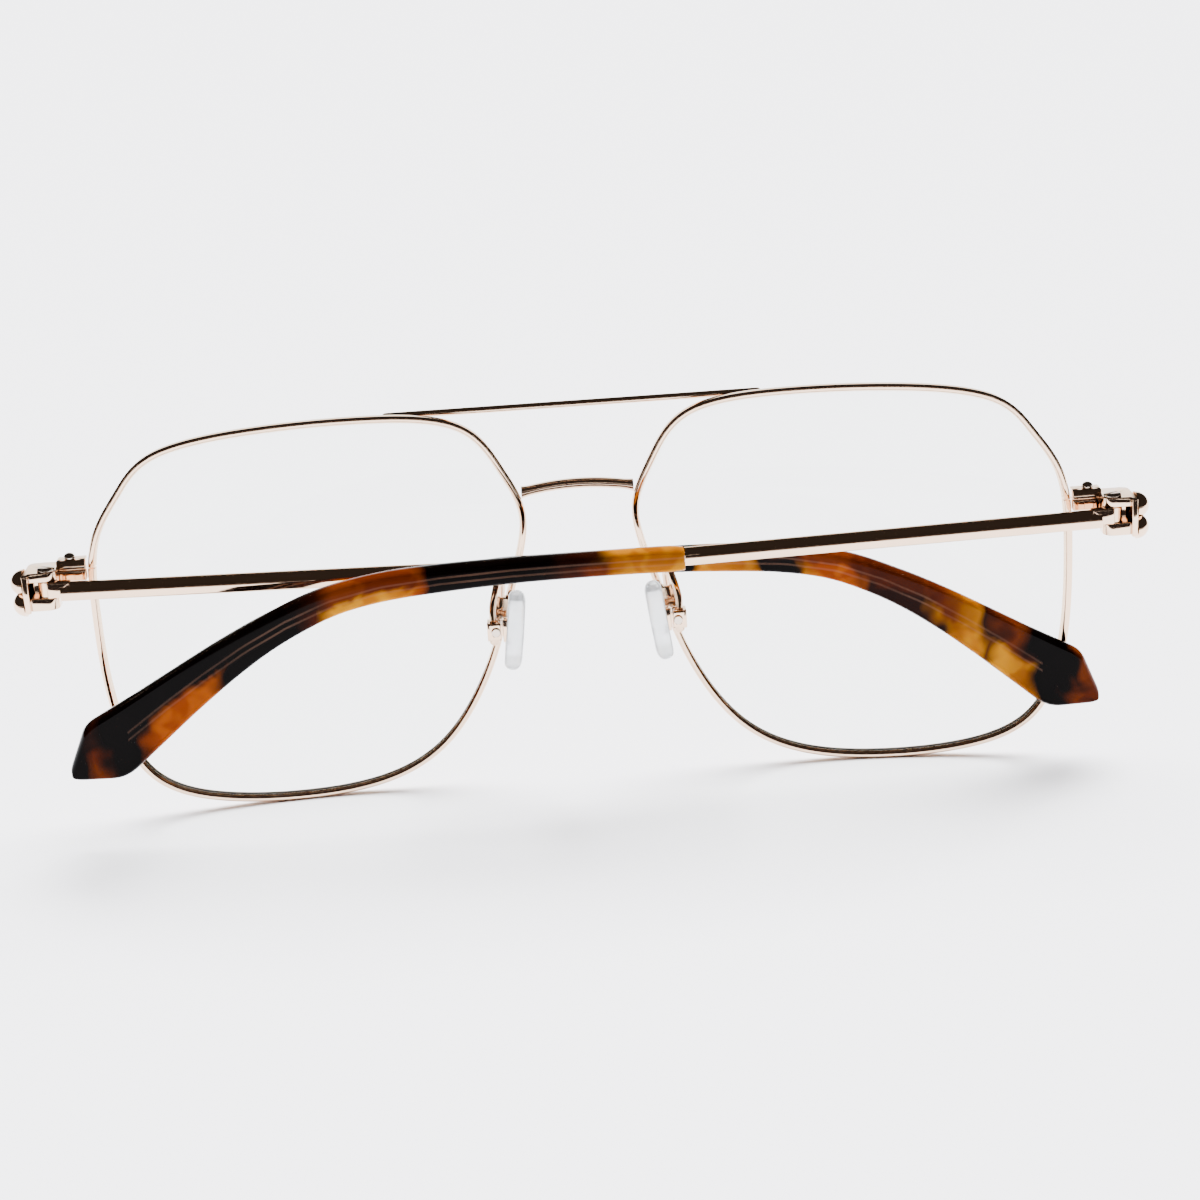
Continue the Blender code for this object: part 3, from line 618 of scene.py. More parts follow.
def tortoise_material(side):
    """Polished acetate: amber and yellow clouds in a near-black ground, and the core wire's two lines."""
    made, nodes, links, shader = new_material("tortoise_" + side)
    sleeve = nodes.new("ShaderNodeAttribute")
    sleeve.attribute_name = "sleeve"
    split = nodes.new("ShaderNodeSeparateXYZ")
    links.new(sleeve.outputs["Vector"], split.inputs["Vector"])
    along, down, off_core = split.outputs["X"], split.outputs["Y"], split.outputs["Z"]
    where = nodes.new("ShaderNodeTexCoord").outputs["Object"]
    wisps = noise(nodes, links, where, 230.0, 1.5, 0.4, 0.3)
    broad = noise(nodes, links, where, 110.0, 2.0, 0.5, 0.3)
    wander = maths(nodes, links, "MULTIPLY_ADD", wisps, CLOUD_WANDER, -CLOUD_WANDER / 2)
    moved = maths(nodes, links, "ADD", along, wander)
    span = TIP_POINT[0] - SLEEVE_START
    from_mouth = maths(nodes, links, "SUBTRACT", moved, SLEEVE_START)
    share = maths(nodes, links, "DIVIDE", from_mouth, span)
    bands = []
    for stops in CLOUDS[side]:
        places = [((s - SLEEVE_START) / span, colour) for s, colour in stops]
        bands.append(ramp(nodes, links, share, places))
    lowered = maths(nodes, links, "ADD", down, maths(nodes, links, "MULTIPLY_ADD", broad, 1.0, -0.5))
    colour = blend(nodes, links, smooth(nodes, links, lowered, 0.36, 0.6), *bands)
    veins = noise(nodes, links, where, 260.0, 1.0, 0.4, 0.8)
    deeper = blend(nodes, links, 1.0, colour, VEIN_TINT, "MULTIPLY")
    colour = blend(nodes, links, smooth(nodes, links, veins, 0.4, 0.6), deeper, colour)
    from_middle = maths(nodes, links, "ABSOLUTE", off_core)
    from_line = maths(nodes, links, "ABSOLUTE", maths(nodes, links, "SUBTRACT", from_middle, CORE_LINE))
    line = maths(nodes, links, "SUBTRACT", 1.0, smooth(nodes, links, from_line, 0.06, 0.2))
    seen = maths(nodes, links, "MULTIPLY", line, maths(nodes, links, "LESS_THAN", along, CORE_END))
    seen = maths(nodes, links, "MULTIPLY", seen, maths(nodes, links, "MULTIPLY", broad, 0.22))
    links.new(blend(nodes, links, seen, colour, CORE_TINT), shader.inputs["Base Color"])
    shader.inputs["Roughness"].default_value = 0.07
    shader.inputs["IOR"].default_value = 1.5
    shader.inputs["Specular IOR Level"].default_value = 0.03
    return made


# ---------------------------------------------------------------- front


def front_y(x, z):
    """How far forward the front's curved surface is at this place of the face."""
    across = abs(x) - LENS_X
    return APEX_Y - (across**2 + z**2) / (2 * BASE_RADIUS) - WRAP * across


def rim_path():
    """Even points round the rim from its split, each with its outward normal in the X-Z plane."""
    fine = [b_spline(OUTLINE, len(OUTLINE) * i / FINE_STEPS) for i in range(FINE_STEPS)]
    temple_side = [i for i, point in enumerate(fine) if point.x >= LENS_X]
    start = min(temple_side, key=lambda i: abs(fine[i].y - RIM_SPLIT_Z))
    fine = fine[start:] + fine[:start]
    path = spaced(fine + [fine[0]], OUTLINE_STEPS)[:-1]
    normals = []
    for i in range(OUTLINE_STEPS):
        along = (path[(i + 1) % OUTLINE_STEPS] - path[i - 1]).normalized()
        normals.append(Vector((along.y, -along.x)))
    return path, normals


def rim_point(point, normal, out, deep):
    """A point this far out from the rim's path and this far forward of the front's surface."""
    p = point + normal * out
    return (p.x, front_y(p.x, p.y) + deep, p.y)


def corner(out, deep, radius, start, steps):
    """Points round a corner of the rim's section, from this angle on through a quarter turn."""
    turn = [math.radians(start + 90 * i / steps) for i in range(steps + 1)]
    return [(out + radius * math.cos(a), deep + radius * math.sin(a)) for a in turn]


def make_rim(side, path, normals):
    """Grooved wire with rounded outer edges, open at its split."""
    w = RIM_WIDTH / 2
    d = RIM_DEPTH / 2
    g = GROOVE_WIDTH / 2
    outer = RIM_OUTER_CORNER
    inner = RIM_INNER_CORNER
    section = [(GROOVE_DEPTH - w, 0), (-w, -g)]
    section += corner(inner - w, inner - d, inner, 180, 10)
    section += corner(w - outer, outer - d, outer, 270, 12)
    section += corner(w - outer, d - outer, outer, 0, 12)
    section += corner(inner - w, d - inner, inner, 90, 10)
    section += [(-w, g)]
    along = Vector((-normals[0].y, normals[0].x))
    points = [path[0] + along * GAP] + path[1:] + [path[0] - along * GAP]
    outward = normals + [normals[0]]
    rings = [[rim_point(p, n, out, deep) for out, deep in section] for p, n in zip(points, outward)]
    return flip(loft(rings), side)


def make_lens(side, path, normals):
    """Two curved faces and an edge with a ridge that sits in the rim's groove."""
    edge = RIM_WIDTH / 2 + GAP
    ridge = edge - GROOVE_DEPTH + 0.05
    half = LENS_THICKNESS / 2
    foot = GROOVE_WIDTH / 2 - 0.07
    middle = Vector((LENS_X, 0))
    around_rim = list(zip(path, normals))
    rear = []
    front = []
    for share in LENS_RINGS:
        spots = [(middle.lerp(p - n * edge, share), n) for p, n in around_rim]
        rear.append([rim_point(spot, n, 0, -half) for spot, n in spots])
        front.insert(0, [rim_point(spot, n, 0, half) for spot, n in spots])
    bevel = half - LENS_BEVEL
    sides = []
    for inward, deep in ((edge, -bevel), (edge, -foot), (ridge, 0), (edge, foot), (edge, bevel)):
        sides.append([rim_point(p, n, -inward, deep) for p, n in around_rim])
    return flip(loft(rear + sides + front), side)


def make_brow_bar():
    """A straight rod with rounded ends, in steps that are closer together near them."""
    steps = 60
    r = BROW_BAR_RADIUS
    rings = []
    for i in range(steps + 1):
        x = BROW_BAR_HALF * math.sin(math.pi / 2 * (2 * i / steps - 1))
        p = Vector((x, BROW_BAR_Y, BROW_BAR_Z))
        end = BROW_BAR_HALF - abs(p.x)
        here = r * math.sqrt(max(0.03, 1 - (1 - end / r) ** 2)) if end < r else r
        rings.append([p + Vector((0, here * math.cos(a), here * math.sin(a))) for a in around(24)])
    return loft(rings)


def make_bridge():
    """A shallow arch from rim to rim, deeper than it is tall, flared where it meets the rims."""
    rings = []
    steps = 64
    for i in range(steps + 1):
        u = 2 * i / steps - 1
        arch = 1 - u * u
        middle = Vector((BRIDGE_HALF * u, BRIDGE_Y + BRIDGE_BOW * arch, BRIDGE_Z + BRIDGE_RISE * arch))
        near_end = max(0, (abs(u) - BRIDGE_FLARE_START) / (1 - BRIDGE_FLARE_START))
        grow = 1 + BRIDGE_FLARE * near_end**2
        ring = []
        for a in around(32):
            y = math.copysign(abs(math.cos(a)) ** BRIDGE_SQUARENESS, math.cos(a)) * BRIDGE_DEEP / 2
            z = math.copysign(abs(math.sin(a)) ** BRIDGE_SQUARENESS, math.sin(a)) * BRIDGE_TALL / 2 * grow
            ring.append(middle + Vector((0, y, z)))
        rings.append(ring)
    return loft(rings)


def make_closing_block(side, low, high):
    """Half of the block that closes the rim, with its screw's hole; the upper half's rear face leans."""
    cx, cy = CLOSING_SCREW_XY
    r = CLOSING_SCREW_RADIUS + GAP
    block = box_between((BLOCK_X[0], BLOCK_Y[0], low), (BLOCK_X[1], BLOCK_Y[1], high))
    if low > RIM_SPLIT_Z:
        taper(block, (low + high) / 2, BLOCK_LEAN)
    hole = turned([(r, -3), (r, 3)], (cx, cy, (low + high) / 2), (0, 0, 1), 48)
    return flip(softened(combine(block, ("DIFFERENCE", hole)), BLOCK_EDGE), side)


def make_closing_screw(side):
    """A shank up through both halves of the block, under a domed head."""
    cx, cy = CLOSING_SCREW_XY
    top = BLOCK_Z[1] + 0.02
    head = CLOSING_HEAD_RADIUS
    shank = CLOSING_SCREW_RADIUS
    low = BLOCK_Z[0]
    profile = [(shank * 0.7, low + 0.1), (shank, low + 0.25), (shank, top), (head * 0.8, top)]
    for a in np.linspace(-0.2, 1.45, 12):
        profile.append((head * math.cos(a), top + 0.2 + head * 0.8 * math.sin(a)))
    return flip(turned(profile, (cx, cy, 0), (0, 0, 1), 48), side)


def hinge_plan():
    """Plan of the end piece: its front plate, rounded corner, outer wall and the ears round the hinge."""
    hx, hy = HINGE_XY
    front = BLOCK_X[1] + GAP
    centre = (WALL_X[1] - CORNER_RADIUS, PLATE_FRONT_Y - CORNER_RADIUS)
    plan = [(front, PLATE_FRONT_Y)]
    for i in range(13):
        a = math.radians(90 - 7.5 * i)
        plan.append((centre[0] + CORNER_RADIUS * math.cos(a), centre[1] + CORNER_RADIUS * math.sin(a)))
    plan += [(WALL_X[1], WALL_REAR_Y), (WALL_X[0], WALL_REAR_Y), (WALL_X[0], hy - EAR_RADIUS)]
    for i in range(17):
        a = math.radians(270 - 90 / 16 * i)
        plan.append((hx + EAR_RADIUS * math.cos(a), hy + EAR_RADIUS * math.sin(a)))
    plan += [(EAR_INNER_X, BLOCK_Y[0] - 0.1), (front, BLOCK_Y[0] - 0.1)]
    return plan


def make_end_piece(side):
    """The hinge plan as a solid, with a window for the temple's barrel and a hole for the screw."""
    hx, hy = HINGE_XY
    low = (EAR_INNER_X - 1, WALL_REAR_Y - 1, WINDOW_Z[0])
    window = box_between(low, (WALL_X[0], WINDOW_FRONT_Y, WINDOW_Z[1]))
    r = HINGE_SCREW_RADIUS + GAP
    hole = turned([(r, END_Z[0] - 1), (r, END_Z[1] + 1)], (hx, hy, 0), (0, 0, 1), 48)
    solid = combine(prism(hinge_plan(), *END_Z), ("DIFFERENCE", window), ("DIFFERENCE", hole))
    return flip(softened(solid, END_EDGE), side)


def make_hinge_screw(side):
    """A slotted screw down through the ears and the temple's barrel."""
    hx, hy = HINGE_XY
    top = END_Z[1] + 0.03
    r = HINGE_SCREW_RADIUS
    head = HINGE_HEAD_RADIUS
    profile = [
        (r - 0.12, END_Z[0] + 0.05), (r, END_Z[0] + 0.2), (r, top), (head - 0.06, top), (head, top + 0.06),
        (head, top + 0.2), (head - 0.08, top + 0.32), (head - 0.3, top + 0.4), (head - 0.7, top + 0.43),
    ]
    screw = turned(profile, (hx, hy, 0), (0, 0, 1), 64)
    slot = box((hx, hy, top + 0.42), DRIVER_SLOT, Matrix.Rotation(0.5, 3, "Z"))
    return flip(combine(screw, ("DIFFERENCE", slot)), side)


def make_ornament(side):
    """Two rounded lobes side by side on the end piece's outer wall."""
    lobes = []
    for z in LOBE_Z:
        bm = bmesh.new()
        bmesh.ops.create_uvsphere(bm, u_segments=64, v_segments=32, radius=1.0)
        bmesh.ops.scale(bm, vec=LOBE_SIZE, verts=bm.verts)
        everything = bm.verts[:] + bm.edges[:] + bm.faces[:]
        cut = bmesh.ops.bisect_plane(
            bm, geom=everything, plane_co=(0, 0, 0), plane_no=(-1, 0, 0), clear_outer=True
        )
        bmesh.ops.holes_fill(bm, edges=[e for e in cut["geom_cut"] if isinstance(e, bmesh.types.BMEdge)])
        bmesh.ops.translate(bm, vec=(WALL_X[1] + GAP, LOBE_Y, z), verts=bm.verts)
        bmesh.ops.recalc_face_normals(bm, faces=bm.faces)
        lobes.append(bm)
    return flip(combine(lobes[0], ("UNION", lobes[1])), side)


# ---------------------------------------------------------------- temples


def hinge_frame(side):
    """Matrix of a temple's frame, in millimetres, from the hinge axis that the joint states."""
    sign = SIDES[side]
    pivot = Vector(JOINTS[side + "_temple_fold"]["pos_m"])
    a = math.radians(REST_FOLD[side])
    along = Vector((-sign * math.cos(a), -math.sin(a), 0))
    outward = Vector((sign * math.sin(a), -math.cos(a), 0))
    turn = Matrix((along, outward, Vector((0, 0, 1)))).transposed().to_4x4()
    play = Matrix.Rotation(math.radians(-REST_PLAY[side]), 4, "Y")
    return Matrix.Translation(pivot) @ turn @ play @ Matrix.Scale(MM, 4)


def in_temple(s, t, h):
    """A temple point in its hinge's frame, whose Z is 0 at the middle of the hinge."""
    inward = 0.5 * BOW * max(0, s - BOW_START) ** 2
    drop = math.tan(math.radians(TEMPLE_DROP)) * max(0, s)
    return Vector((s, t - inward, h - TEMPLE_H - drop))


def fall(share):
    """How far the bar's outer face falls away at this share of its half height."""
    if share > BAR_RIDGE:
        return BAR_DOME[0] * ((share - BAR_RIDGE) / (1 - BAR_RIDGE)) ** BAR_DOME_POWER
    return BAR_DOME[1] * ((BAR_RIDGE - share) / (1 + BAR_RIDGE)) ** BAR_DOME_POWER


def bar_corner(start, up, angles):
    """Points from start round a corner of the bar, going up (1) or down (-1)."""
    t, h = start
    return [(t - BAR_CORNER * (1 - math.cos(a)), h + up * BAR_CORNER * math.sin(a)) for a in angles]


def bar_section(s, middle_h, tall, thick, domed=True):
    """Across the bar: rounded corners, a ridged outer face and a flat inner one."""
    half = tall / 2
    outer = []
    for k in range(13):
        share = (1 - BAR_CORNER / half) * (k / 6 - 1)
        outer.append((thick / 2 - (fall(share) if domed else 0), share * half))
    outer = bar_corner(outer[0], -1, (1.2, 0.8, 0.4)) + outer + bar_corner(outer[-1], 1, (0.4, 0.8, 1.2))
    turn = bar_corner((thick / 2, half - BAR_CORNER), 1, (1.4, 1.0, 0.6, 0.2))
    inner = [(-t, h) for t, h in turn] + [(-t, -h) for t, h in reversed(turn)]
    return [in_temple(s, BAR_T + t, middle_h + h) for t, h in outer + inner]


def core_line(s):
    """Height of the core's middle line at s: midway between the sleeve's two edges."""
    middles = [(a + b) / 2 for a, b in zip(map(Vector, TIP_UPPER), map(Vector, TIP_LOWER))]
    middles[0].y = middles[1].y
    middles.append((Vector(TIP_SHOULDERS[0]) + Vector(TIP_SHOULDERS[1])) / 2)
    for one, two in zip(middles, middles[1:]):
        if s <= two.x:
            return one.lerp(two, max(0, (s - one.x) / (two.x - one.x))).y
    return middles[-1].y


def core_sections(grow, start, end):
    """Sections of the core wire, made this much larger all told, for the wire itself or its channel."""
    stations = [start + (end - start) * i / 48 for i in range(49)]
    return [bar_section(s, core_line(s), CORE_TALL + grow, CORE_THICK + grow, False) for s in stations]


def make_bar():
    """Barrel, neck and flat bar, which runs on inside the sleeve as the core."""
    rings = []
    steps = 24
    for i in range(steps + 1):
        u = i / steps
        s = BAR_START + (SLEEVE_START - 0.15 - BAR_START) * u
        middle, tall, thick = (a + (b - a) * u for a, b in (BAR_H, BAR_TALL, BAR_THICK))
        rings.append(bar_section(s, middle, tall, thick))
    low = WINDOW_Z[0] + GAP - TEMPLE_H
    high = WINDOW_Z[1] - GAP - TEMPLE_H
    r = BARREL_RADIUS
    profile = [(r - 0.1, low), (r, low + 0.1), (r, high - 0.1), (r - 0.1, high)]
    barrel = turned(profile, (0, 0, 0), (0, 0, 1), 96)
    neck = softened(box_between((0.2, NECK_T[0], low), (NECK_END, NECK_T[1], high)), SMALL_EDGE)
    r = HINGE_SCREW_RADIUS + RUNNING
    hole = turned([(r, -3), (r, 3)], (0, 0, 0), (0, 0, 1), 48)
    core = loft(core_sections(0.0, SLEEVE_START - CORE_START, CORE_END))
    return combine(loft(rings), ("UNION", core), ("UNION", neck), ("UNION", barrel), ("DIFFERENCE", hole))


def quadratic(a, b, c, f):
    """A point of the rounding between two straight edges that meet at b."""
    return a.lerp(b, f).lerp(b.lerp(c, f), f)


def tip_stations():
    """The sleeve's upper and lower edges as pairs of points, from its mouth to its blunt point."""
    upper = [catmull(TIP_UPPER, i / EDGE_STEPS) for i in range(EDGE_STEPS + 1)]
    lower = [catmull(TIP_LOWER, i / EDGE_STEPS) for i in range(EDGE_STEPS + 1)]
    point = Vector(TIP_POINT)
    for edge, shoulder, radius in zip((upper, lower), TIP_SHOULDERS, TIP_SHOULDER_RADII):
        shoulder = Vector(shoulder)
        start = shoulder + (edge[-1] - shoulder).normalized() * radius
        end = shoulder + (point - shoulder).normalized() * radius
        turn = [quadratic(start, shoulder, end, i / 12) for i in range(13)]
        other = Vector(TIP_SHOULDERS[1] if edge is upper else TIP_SHOULDERS[0])
        blunt = point + (shoulder - point).normalized() * TIP_POINT_RADIUS
        far = point + (other - point).normalized() * TIP_POINT_RADIUS
        nose = [quadratic(blunt, point, far, i / 16) for i in range(9)]
        edge += spaced([edge[-1]] + turn[:7], TURN_STEPS)[1:]
        edge += spaced(turn[6:] + nose, POINT_STEPS)[1:-1]
        edge.append(nose[-1].lerp(shoulder, 0.01))
    return list(zip(upper, lower))


def make_tip():
    """Flat acetate sleeve with softened edges, straight and then curving down to its blunt point."""
    stations = tip_stations()
    shoulder = len(stations) - 1 - POINT_STEPS
    rings = []
    for i, (upper, lower) in enumerate(stations):
        across = lower - upper
        tall = across.length
        edge = min(TIP_EDGE, tall * 0.3) / tall
        beyond = max(0, i - shoulder) / POINT_STEPS
        along = max(0.0, min(1.0, (upper.x - SLEEVE_START) / MOUTH_LENGTH))
        mouth = MOUTH_THICK + (1 - MOUTH_THICK) * math.sin(math.acos(1 - along))
        thick = TIP_THICK / 2 * mouth * (1 - (1 - TIP_POINT_THICK) * beyond)
        turns = [math.radians(a) for a in (12, 27, 42, 57, 72, 84)]
        half = [(edge * (1 - math.cos(a)) ** 0.9, math.sin(a)) for a in turns]
        half += [(edge + (1 - 2 * edge) * k / 6, 1) for k in range(7)]
        half += [(1 - share, out) for share, out in reversed(half[:6])]
        ring = []
        for share, out in half + [(share, -out) for share, out in reversed(half)]:
            p = upper + across * share
            ring.append(in_temple(p.x, BAR_T + thick * out, p.y))
        rings.append(ring)
    channel = core_sections(2 * GAP, SLEEVE_START - CORE_INSIDE, CORE_END + CORE_INSIDE)
    return combine(loft(rings), ("DIFFERENCE", loft(channel)))


def mark_sleeve(bm):
    """Stores what the pattern needs at each point: its place along the sleeve, its share of the way from
    the upper to the lower edge, and its distance from the core's middle line."""
    stations = tip_stations()
    upper = np.array([a for a, b in stations])
    across = np.array([b - a for a, b in stations])
    length = np.linalg.norm(across, axis=1)
    normal = np.stack([-across[:, 1], across[:, 0]], 1) / length[:, None]
    layer = bm.verts.layers.float_vector.new("sleeve")
    slope = math.tan(math.radians(TEMPLE_DROP))
    cores = [core_line(s) for s in range(160)]
    for vert in bm.verts:
        p = np.array((vert.co.x, vert.co.z + TEMPLE_H + slope * max(0, vert.co.x)))
        beyond = ((p - upper) * normal).sum(1)
        i = min(max(int((beyond >= 0).sum()) - 1, 0), len(stations) - 1)
        down = float((p - upper[i]) @ across[i] / length[i] ** 2)
        k = min(max(int(p[0]), 0), len(cores) - 2)
        rise = cores[k + 1] - cores[k]
        off = (p[1] - cores[k] - rise * (p[0] - k)) / math.hypot(1, rise)
        vert[layer] = (p[0], down, off)
    return bm


# ---------------------------------------------------------------- nose pads


def make_mount(side):
    """The block behind the rim that carries the pad, its screw and the foot soldered under it."""
    tilt = Matrix.Rotation(math.radians(-MOUNT_TILT), 3, "Y")
    centre = Vector(MOUNT_CENTRE)
    seat = centre + tilt @ Vector((0, 0, MOUNT_SCREW_Z))
    back = MOUNT_SIZE[1] / 2
    r = MOUNT_SCREW_RADIUS
    hole = turned([(r + GAP, back - 1.5), (r + GAP, back + 1)], seat, (0, -1, 0), 40)
    block = taper(box(centre, MOUNT_SIZE, tilt), centre.z, MOUNT_LEAN)
    block = softened(combine(block, ("DIFFERENCE", hole)), BLOCK_EDGE)
    face = back + 0.03
    profile = [
        (r, back - 1.4), (r, face), (0.62, face), (0.68, face + 0.06), (0.68, face + 0.22),
        (0.6, face + 0.33), (0.42, face + 0.38),
    ]
    slot = box((seat.x, seat.y - face - 0.38, seat.z), (2, 0.36, 0.2), Matrix.Rotation(0.6, 3, "Y"))
    screw = combine(turned(profile, seat, (0, -1, 0), 48), ("DIFFERENCE", slot))
    lean = Matrix.Rotation(math.radians(-FOOT_TILT), 3, "Y")
    foot = softened(box(FOOT_CENTRE, FOOT_SIZE, lean), FOOT_EDGE, 5)
    return flip(block, side), flip(screw, side), flip(foot, side)


def make_arm(side):
    points = [catmull(ARM_PATH, i / ARM_STEPS) for i in range(ARM_STEPS + 1)]
    return flip(tube(points, ARM_RADIUS), side)


def pad_place(side):
    """Matrix of a pad's frame, in millimetres, from the pivot that the joint states."""
    pivot = Vector(JOINTS[side + "_pad_rock"]["pos_m"])
    return Matrix.Translation(pivot) @ Matrix.Scale(MM, 4)


def make_pad_box(side):
    """The slotted housing that holds the pad's lug, and the screw through both."""
    reach = PAD_BOX_SIZE[1] / 2
    r = PAD_SCREW_RADIUS + GAP
    slot = box((-0.6, 0, 0), (2.6, SLOT_WIDTH, 4))
    hole = turned([(r, -3), (r, 3)], (0, 0, 0), (0, -1, 0), 40)
    solid = box((PAD_BOX_SHIFT, 0, 0), PAD_BOX_SIZE)
    housing = combine(solid, ("DIFFERENCE", slot), ("DIFFERENCE", hole))
    shank = PAD_SCREW_RADIUS
    profile = [
        (shank, -reach), (shank, reach + 0.03), (0.56, reach + 0.03), (0.6, reach + 0.08),
        (0.6, reach + 0.18), (0.5, reach + 0.28),
    ]
    screw = turned(profile, (0, 0, 0), (0, -1, 0), 40)
    return flip(softened(housing, SMALL_EDGE), side), flip(screw, side)


def make_pad(side):
    """The soft pad, rounder on its nose side, and the metal lug moulded into it."""
    tilt = Matrix.Rotation(math.radians(-PAD_TILT), 3, "Y")
    middle = Vector(PAD_CENTRE) - Vector(PIVOT)
    rings = []
    steps = 24
    for i in range(steps + 1):
        a = math.pi * i / steps - math.pi / 2
        w = math.sin(a)
        flat = PAD_FLATS[0] if w < 0 else PAD_FLATS[1]
        scale = flat + (1 - flat) * max(0.0, math.cos(a)) ** 0.8
        ring = []
        for b in around(96):
            z = math.sin(b) * PAD_HALF[2] * scale
            y = math.cos(b) * PAD_HALF[1] * scale * (1 - 0.1 * math.sin(b))
            ring.append(middle + tilt @ Vector((w * PAD_HALF[0], y, z)))
        rings.append(ring)
    socket = Vector((LUG_PLATE_X, 0, 0))
    pocket = box(socket, [size + 2 * GAP for size in LUG_PLATE])
    pad = combine(loft(rings), ("DIFFERENCE", pocket))
    r = PAD_SCREW_RADIUS + RUNNING
    bore = turned([(r, -2), (r, 2)], (0, 0, 0), (0, -1, 0), 40)
    eye = turned([(LUG_EYE, -LUG_THICK / 2), (LUG_EYE, LUG_THICK / 2)], (0, 0, 0), (0, -1, 0), 48)
    neck = box((socket.x / 2, 0, 0), (abs(socket.x), LUG_THICK - 0.1, 1.1))
    plate = softened(box(socket, LUG_PLATE), SMALL_EDGE)
    lug = combine(plate, ("UNION", neck), ("UNION", eye), ("DIFFERENCE", bore))
    return flip(pad, side), flip(lug, side)


# ---------------------------------------------------------------- assembly

rose_gold = polished_metal("rose_gold", (0.84, 0.59, 0.41), 0.07, 0.06)
screw_steel = polished_metal("screw_steel", (0.7, 0.58, 0.48), 0.16, 0.1)
clear_lens = lens_material()
clear_silicone = silicone_material()

face = face_place()
rim_points, rim_normals = rim_path()
for name_of_side, sign in SIDES.items():
    s = "_" + name_of_side
    rim = make_rim(sign, rim_points, rim_normals)
    lens = make_lens(sign, rim_points, rim_normals)
    piece("eyewire" + s, rim, rose_gold, "front", face, ["rim" + s])
    piece("clear_lens" + s, lens, clear_lens, "front", face, ["lens" + s])
    upper = make_closing_block(sign, RIM_SPLIT_Z + GAP / 2, BLOCK_Z[1])
    lower = make_closing_block(sign, BLOCK_Z[0], RIM_SPLIT_Z - GAP / 2)
    piece("block_upper" + s, upper, rose_gold, "front", face, ["closing_block_upper" + s])
    piece("block_lower" + s, lower, rose_gold, "front", face, ["closing_block_lower" + s])
    screw = make_closing_screw(sign)
    piece("block_screw" + s, screw, screw_steel, "front", face, ["closing_screw" + s])
    piece("clevis" + s, make_end_piece(sign), rose_gold, "front", face, ["end_piece" + s])
    screw = make_hinge_screw(sign)
    piece("pivot_screw" + s, screw, screw_steel, "front", face, ["hinge_screw" + s])
    piece("lobes" + s, make_ornament(sign), rose_gold, "front", face, ["ornament" + s])
    block, screw, foot = make_mount(sign)
    piece("pad_block" + s, block, rose_gold, "front", face, ["pad_mount_block" + s])
    piece("pad_block_screw" + s, screw, screw_steel, "front", face, ["pad_mount_screw" + s])
    piece("pad_foot" + s, foot, rose_gold, "front", face, ["pad_mount_foot" + s])
    piece("pad_wire" + s, make_arm(sign), rose_gold, "front", face, ["pad_arm" + s])
    housing, pin = make_pad_box(sign)
    place = pad_place(name_of_side)
    piece("pad_housing" + s, housing, rose_gold, "front", place, ["pad_box" + s])
    piece("pad_pin" + s, pin, screw_steel, "front", place, ["pad_screw" + s])
    pad, lug = make_pad(sign)
    body = name_of_side + "_nose_pad"
    piece("silicone_pad" + s, pad, clear_silicone, body, place, ["nose_pad" + s])
    piece("pad_insert" + s, lug, rose_gold, body, place, ["pad_lug" + s])
    place = hinge_frame(name_of_side)
    body = name_of_side + "_temple"
    piece("temple_metal" + s, make_bar(), rose_gold, body, place, ["temple_bar" + s])
    acetate = tortoise_material(name_of_side)
    sleeve = mark_sleeve(make_tip())
    piece("temple_sleeve" + s, sleeve, acetate, body, place, ["temple_tip" + s])
piece("brow_rod", make_brow_bar(), rose_gold, "front", face, ["brow_bar"])
piece("bridge_arch", make_bridge(), rose_gold, "front", face, ["bridge"])


# ---------------------------------------------------------------- stage


def make_floor():
    """A plain, pale, matt floor."""
    mesh = bpy.data.meshes.new("floor")
    bm = bmesh.new()
    bmesh.ops.create_grid(bm, x_segments=1, y_segments=1, size=FLOOR_SIZE)
    bm.to_mesh(mesh)
    bm.free()
    made, nodes, links, shader = new_material("floor")
    shader.inputs["Base Color"].default_value = (0.84, 0.84, 0.88, 1.0)
    shader.inputs["Roughness"].default_value = 0.9
    mesh.materials.append(made)
    floor = bpy.data.objects.new("floor", mesh)
    bpy.context.scene.collection.objects.link(floor)


def make_flag():
    """Black card on the floor under the camera, out of its view, that the polished metal reflects."""
    mesh = bpy.data.meshes.new("flag")
    bm = bmesh.new()
    left, right = FLAG_X
    near, far = FLAG_Y
    corners = [(left, near), (right, near), (right, far), (left, far)]
    bm.faces.new([bm.verts.new((x, y, FLAG_LIFT)) for x, y in corners])
    bm.to_mesh(mesh)
    bm.free()
    made, nodes, links, shader = new_material("flag")
    shader.inputs["Base Color"].default_value = (0.006, 0.005, 0.005, 1.0)
    shader.inputs["Roughness"].default_value = 1.0
    shader.inputs["Specular IOR Level"].default_value = 0.0
    mesh.materials.append(made)
    flag = bpy.data.objects.new("flag", mesh)
    flag.visible_camera = False
    flag.visible_diffuse = False
    flag.visible_shadow = False
    flag.visible_transmission = False
    bpy.context.scene.collection.objects.link(flag)


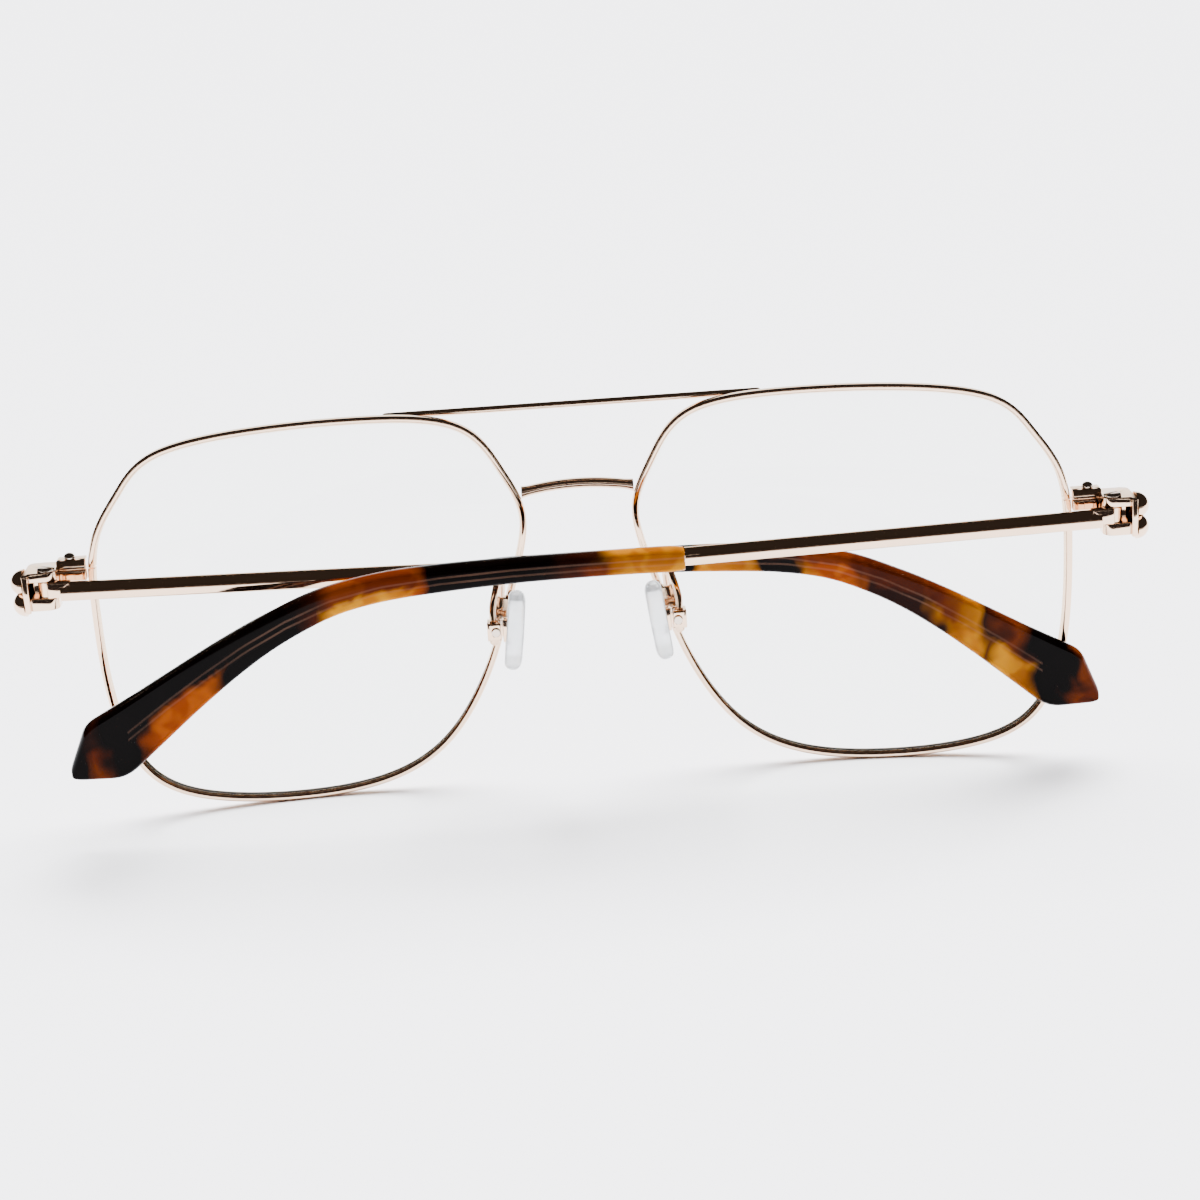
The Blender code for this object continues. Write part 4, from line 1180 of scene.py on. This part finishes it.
def make_world():
    """Bright straight ahead of the glasses and below the horizon, and dark elsewhere, to shape the metal."""
    world = bpy.data.worlds.new("studio")
    bpy.context.scene.world = world
    world.use_nodes = True
    nodes = world.node_tree.nodes
    links = world.node_tree.links
    where = nodes.new("ShaderNodeTexCoord").outputs["Generated"]
    split = nodes.new("ShaderNodeSeparateXYZ")
    links.new(where, split.inputs["Vector"])
    ahead = smooth(nodes, links, split.outputs["Y"], *SKY_AHEAD)
    above = smooth(nodes, links, split.outputs["Z"], -HORIZON, HORIZON)
    low = maths(nodes, links, "SUBTRACT", 1.0, above)
    bright = maths(nodes, links, "MAXIMUM", ahead, low)
    sky = ramp(nodes, links, bright, [(0.0, (0.012, 0.01, 0.009)), (1.0, (1.0, 0.99, 0.97))])
    links.new(sky, nodes["Background"].inputs["Color"])
    nodes["Background"].inputs["Strength"].default_value = SKY_STRENGTH


def add_light():
    """One wide, soft light from above and ahead, which the polished metal doesn't mirror."""
    data = bpy.data.lights.new("overhead", "SUN")
    data.energy = SUN_STRENGTH
    data.angle = SUN_ANGLE
    made = bpy.data.objects.new("overhead", data)
    made.rotation_euler = Vector(SUN_TOWARDS).to_track_quat("-Z", "Y").to_euler()
    made.visible_glossy = False
    bpy.context.scene.collection.objects.link(made)


def make_camera():
    """The camera looks along forward, with its own right and top turned by the roll."""
    forward = Vector((
        math.sin(CAMERA_TURN) * math.cos(CAMERA_DOWN),
        math.cos(CAMERA_TURN) * math.cos(CAMERA_DOWN),
        -math.sin(CAMERA_DOWN),
    ))
    right = Vector((math.cos(CAMERA_TURN), -math.sin(CAMERA_TURN), 0))
    up = right.cross(forward)
    rolled = right * math.cos(CAMERA_ROLL) + up * math.sin(CAMERA_ROLL)
    top = up * math.cos(CAMERA_ROLL) - right * math.sin(CAMERA_ROLL)
    data = bpy.data.cameras.new("camera")
    data.lens = CAMERA_LENS
    data.sensor_width = CAMERA_SENSOR
    data.clip_start = 0.01
    made = bpy.data.objects.new("camera", data)
    turn = Matrix((rolled, top, -forward)).transposed().to_4x4()
    spot = face @ (Vector(CAMERA_AIM) - forward * CAMERA_DISTANCE)
    made.matrix_world = Matrix.Translation(spot) @ turn
    bpy.context.scene.collection.objects.link(made)
    bpy.context.scene.camera = made


make_floor()
make_flag()
make_world()
add_light()
make_camera()
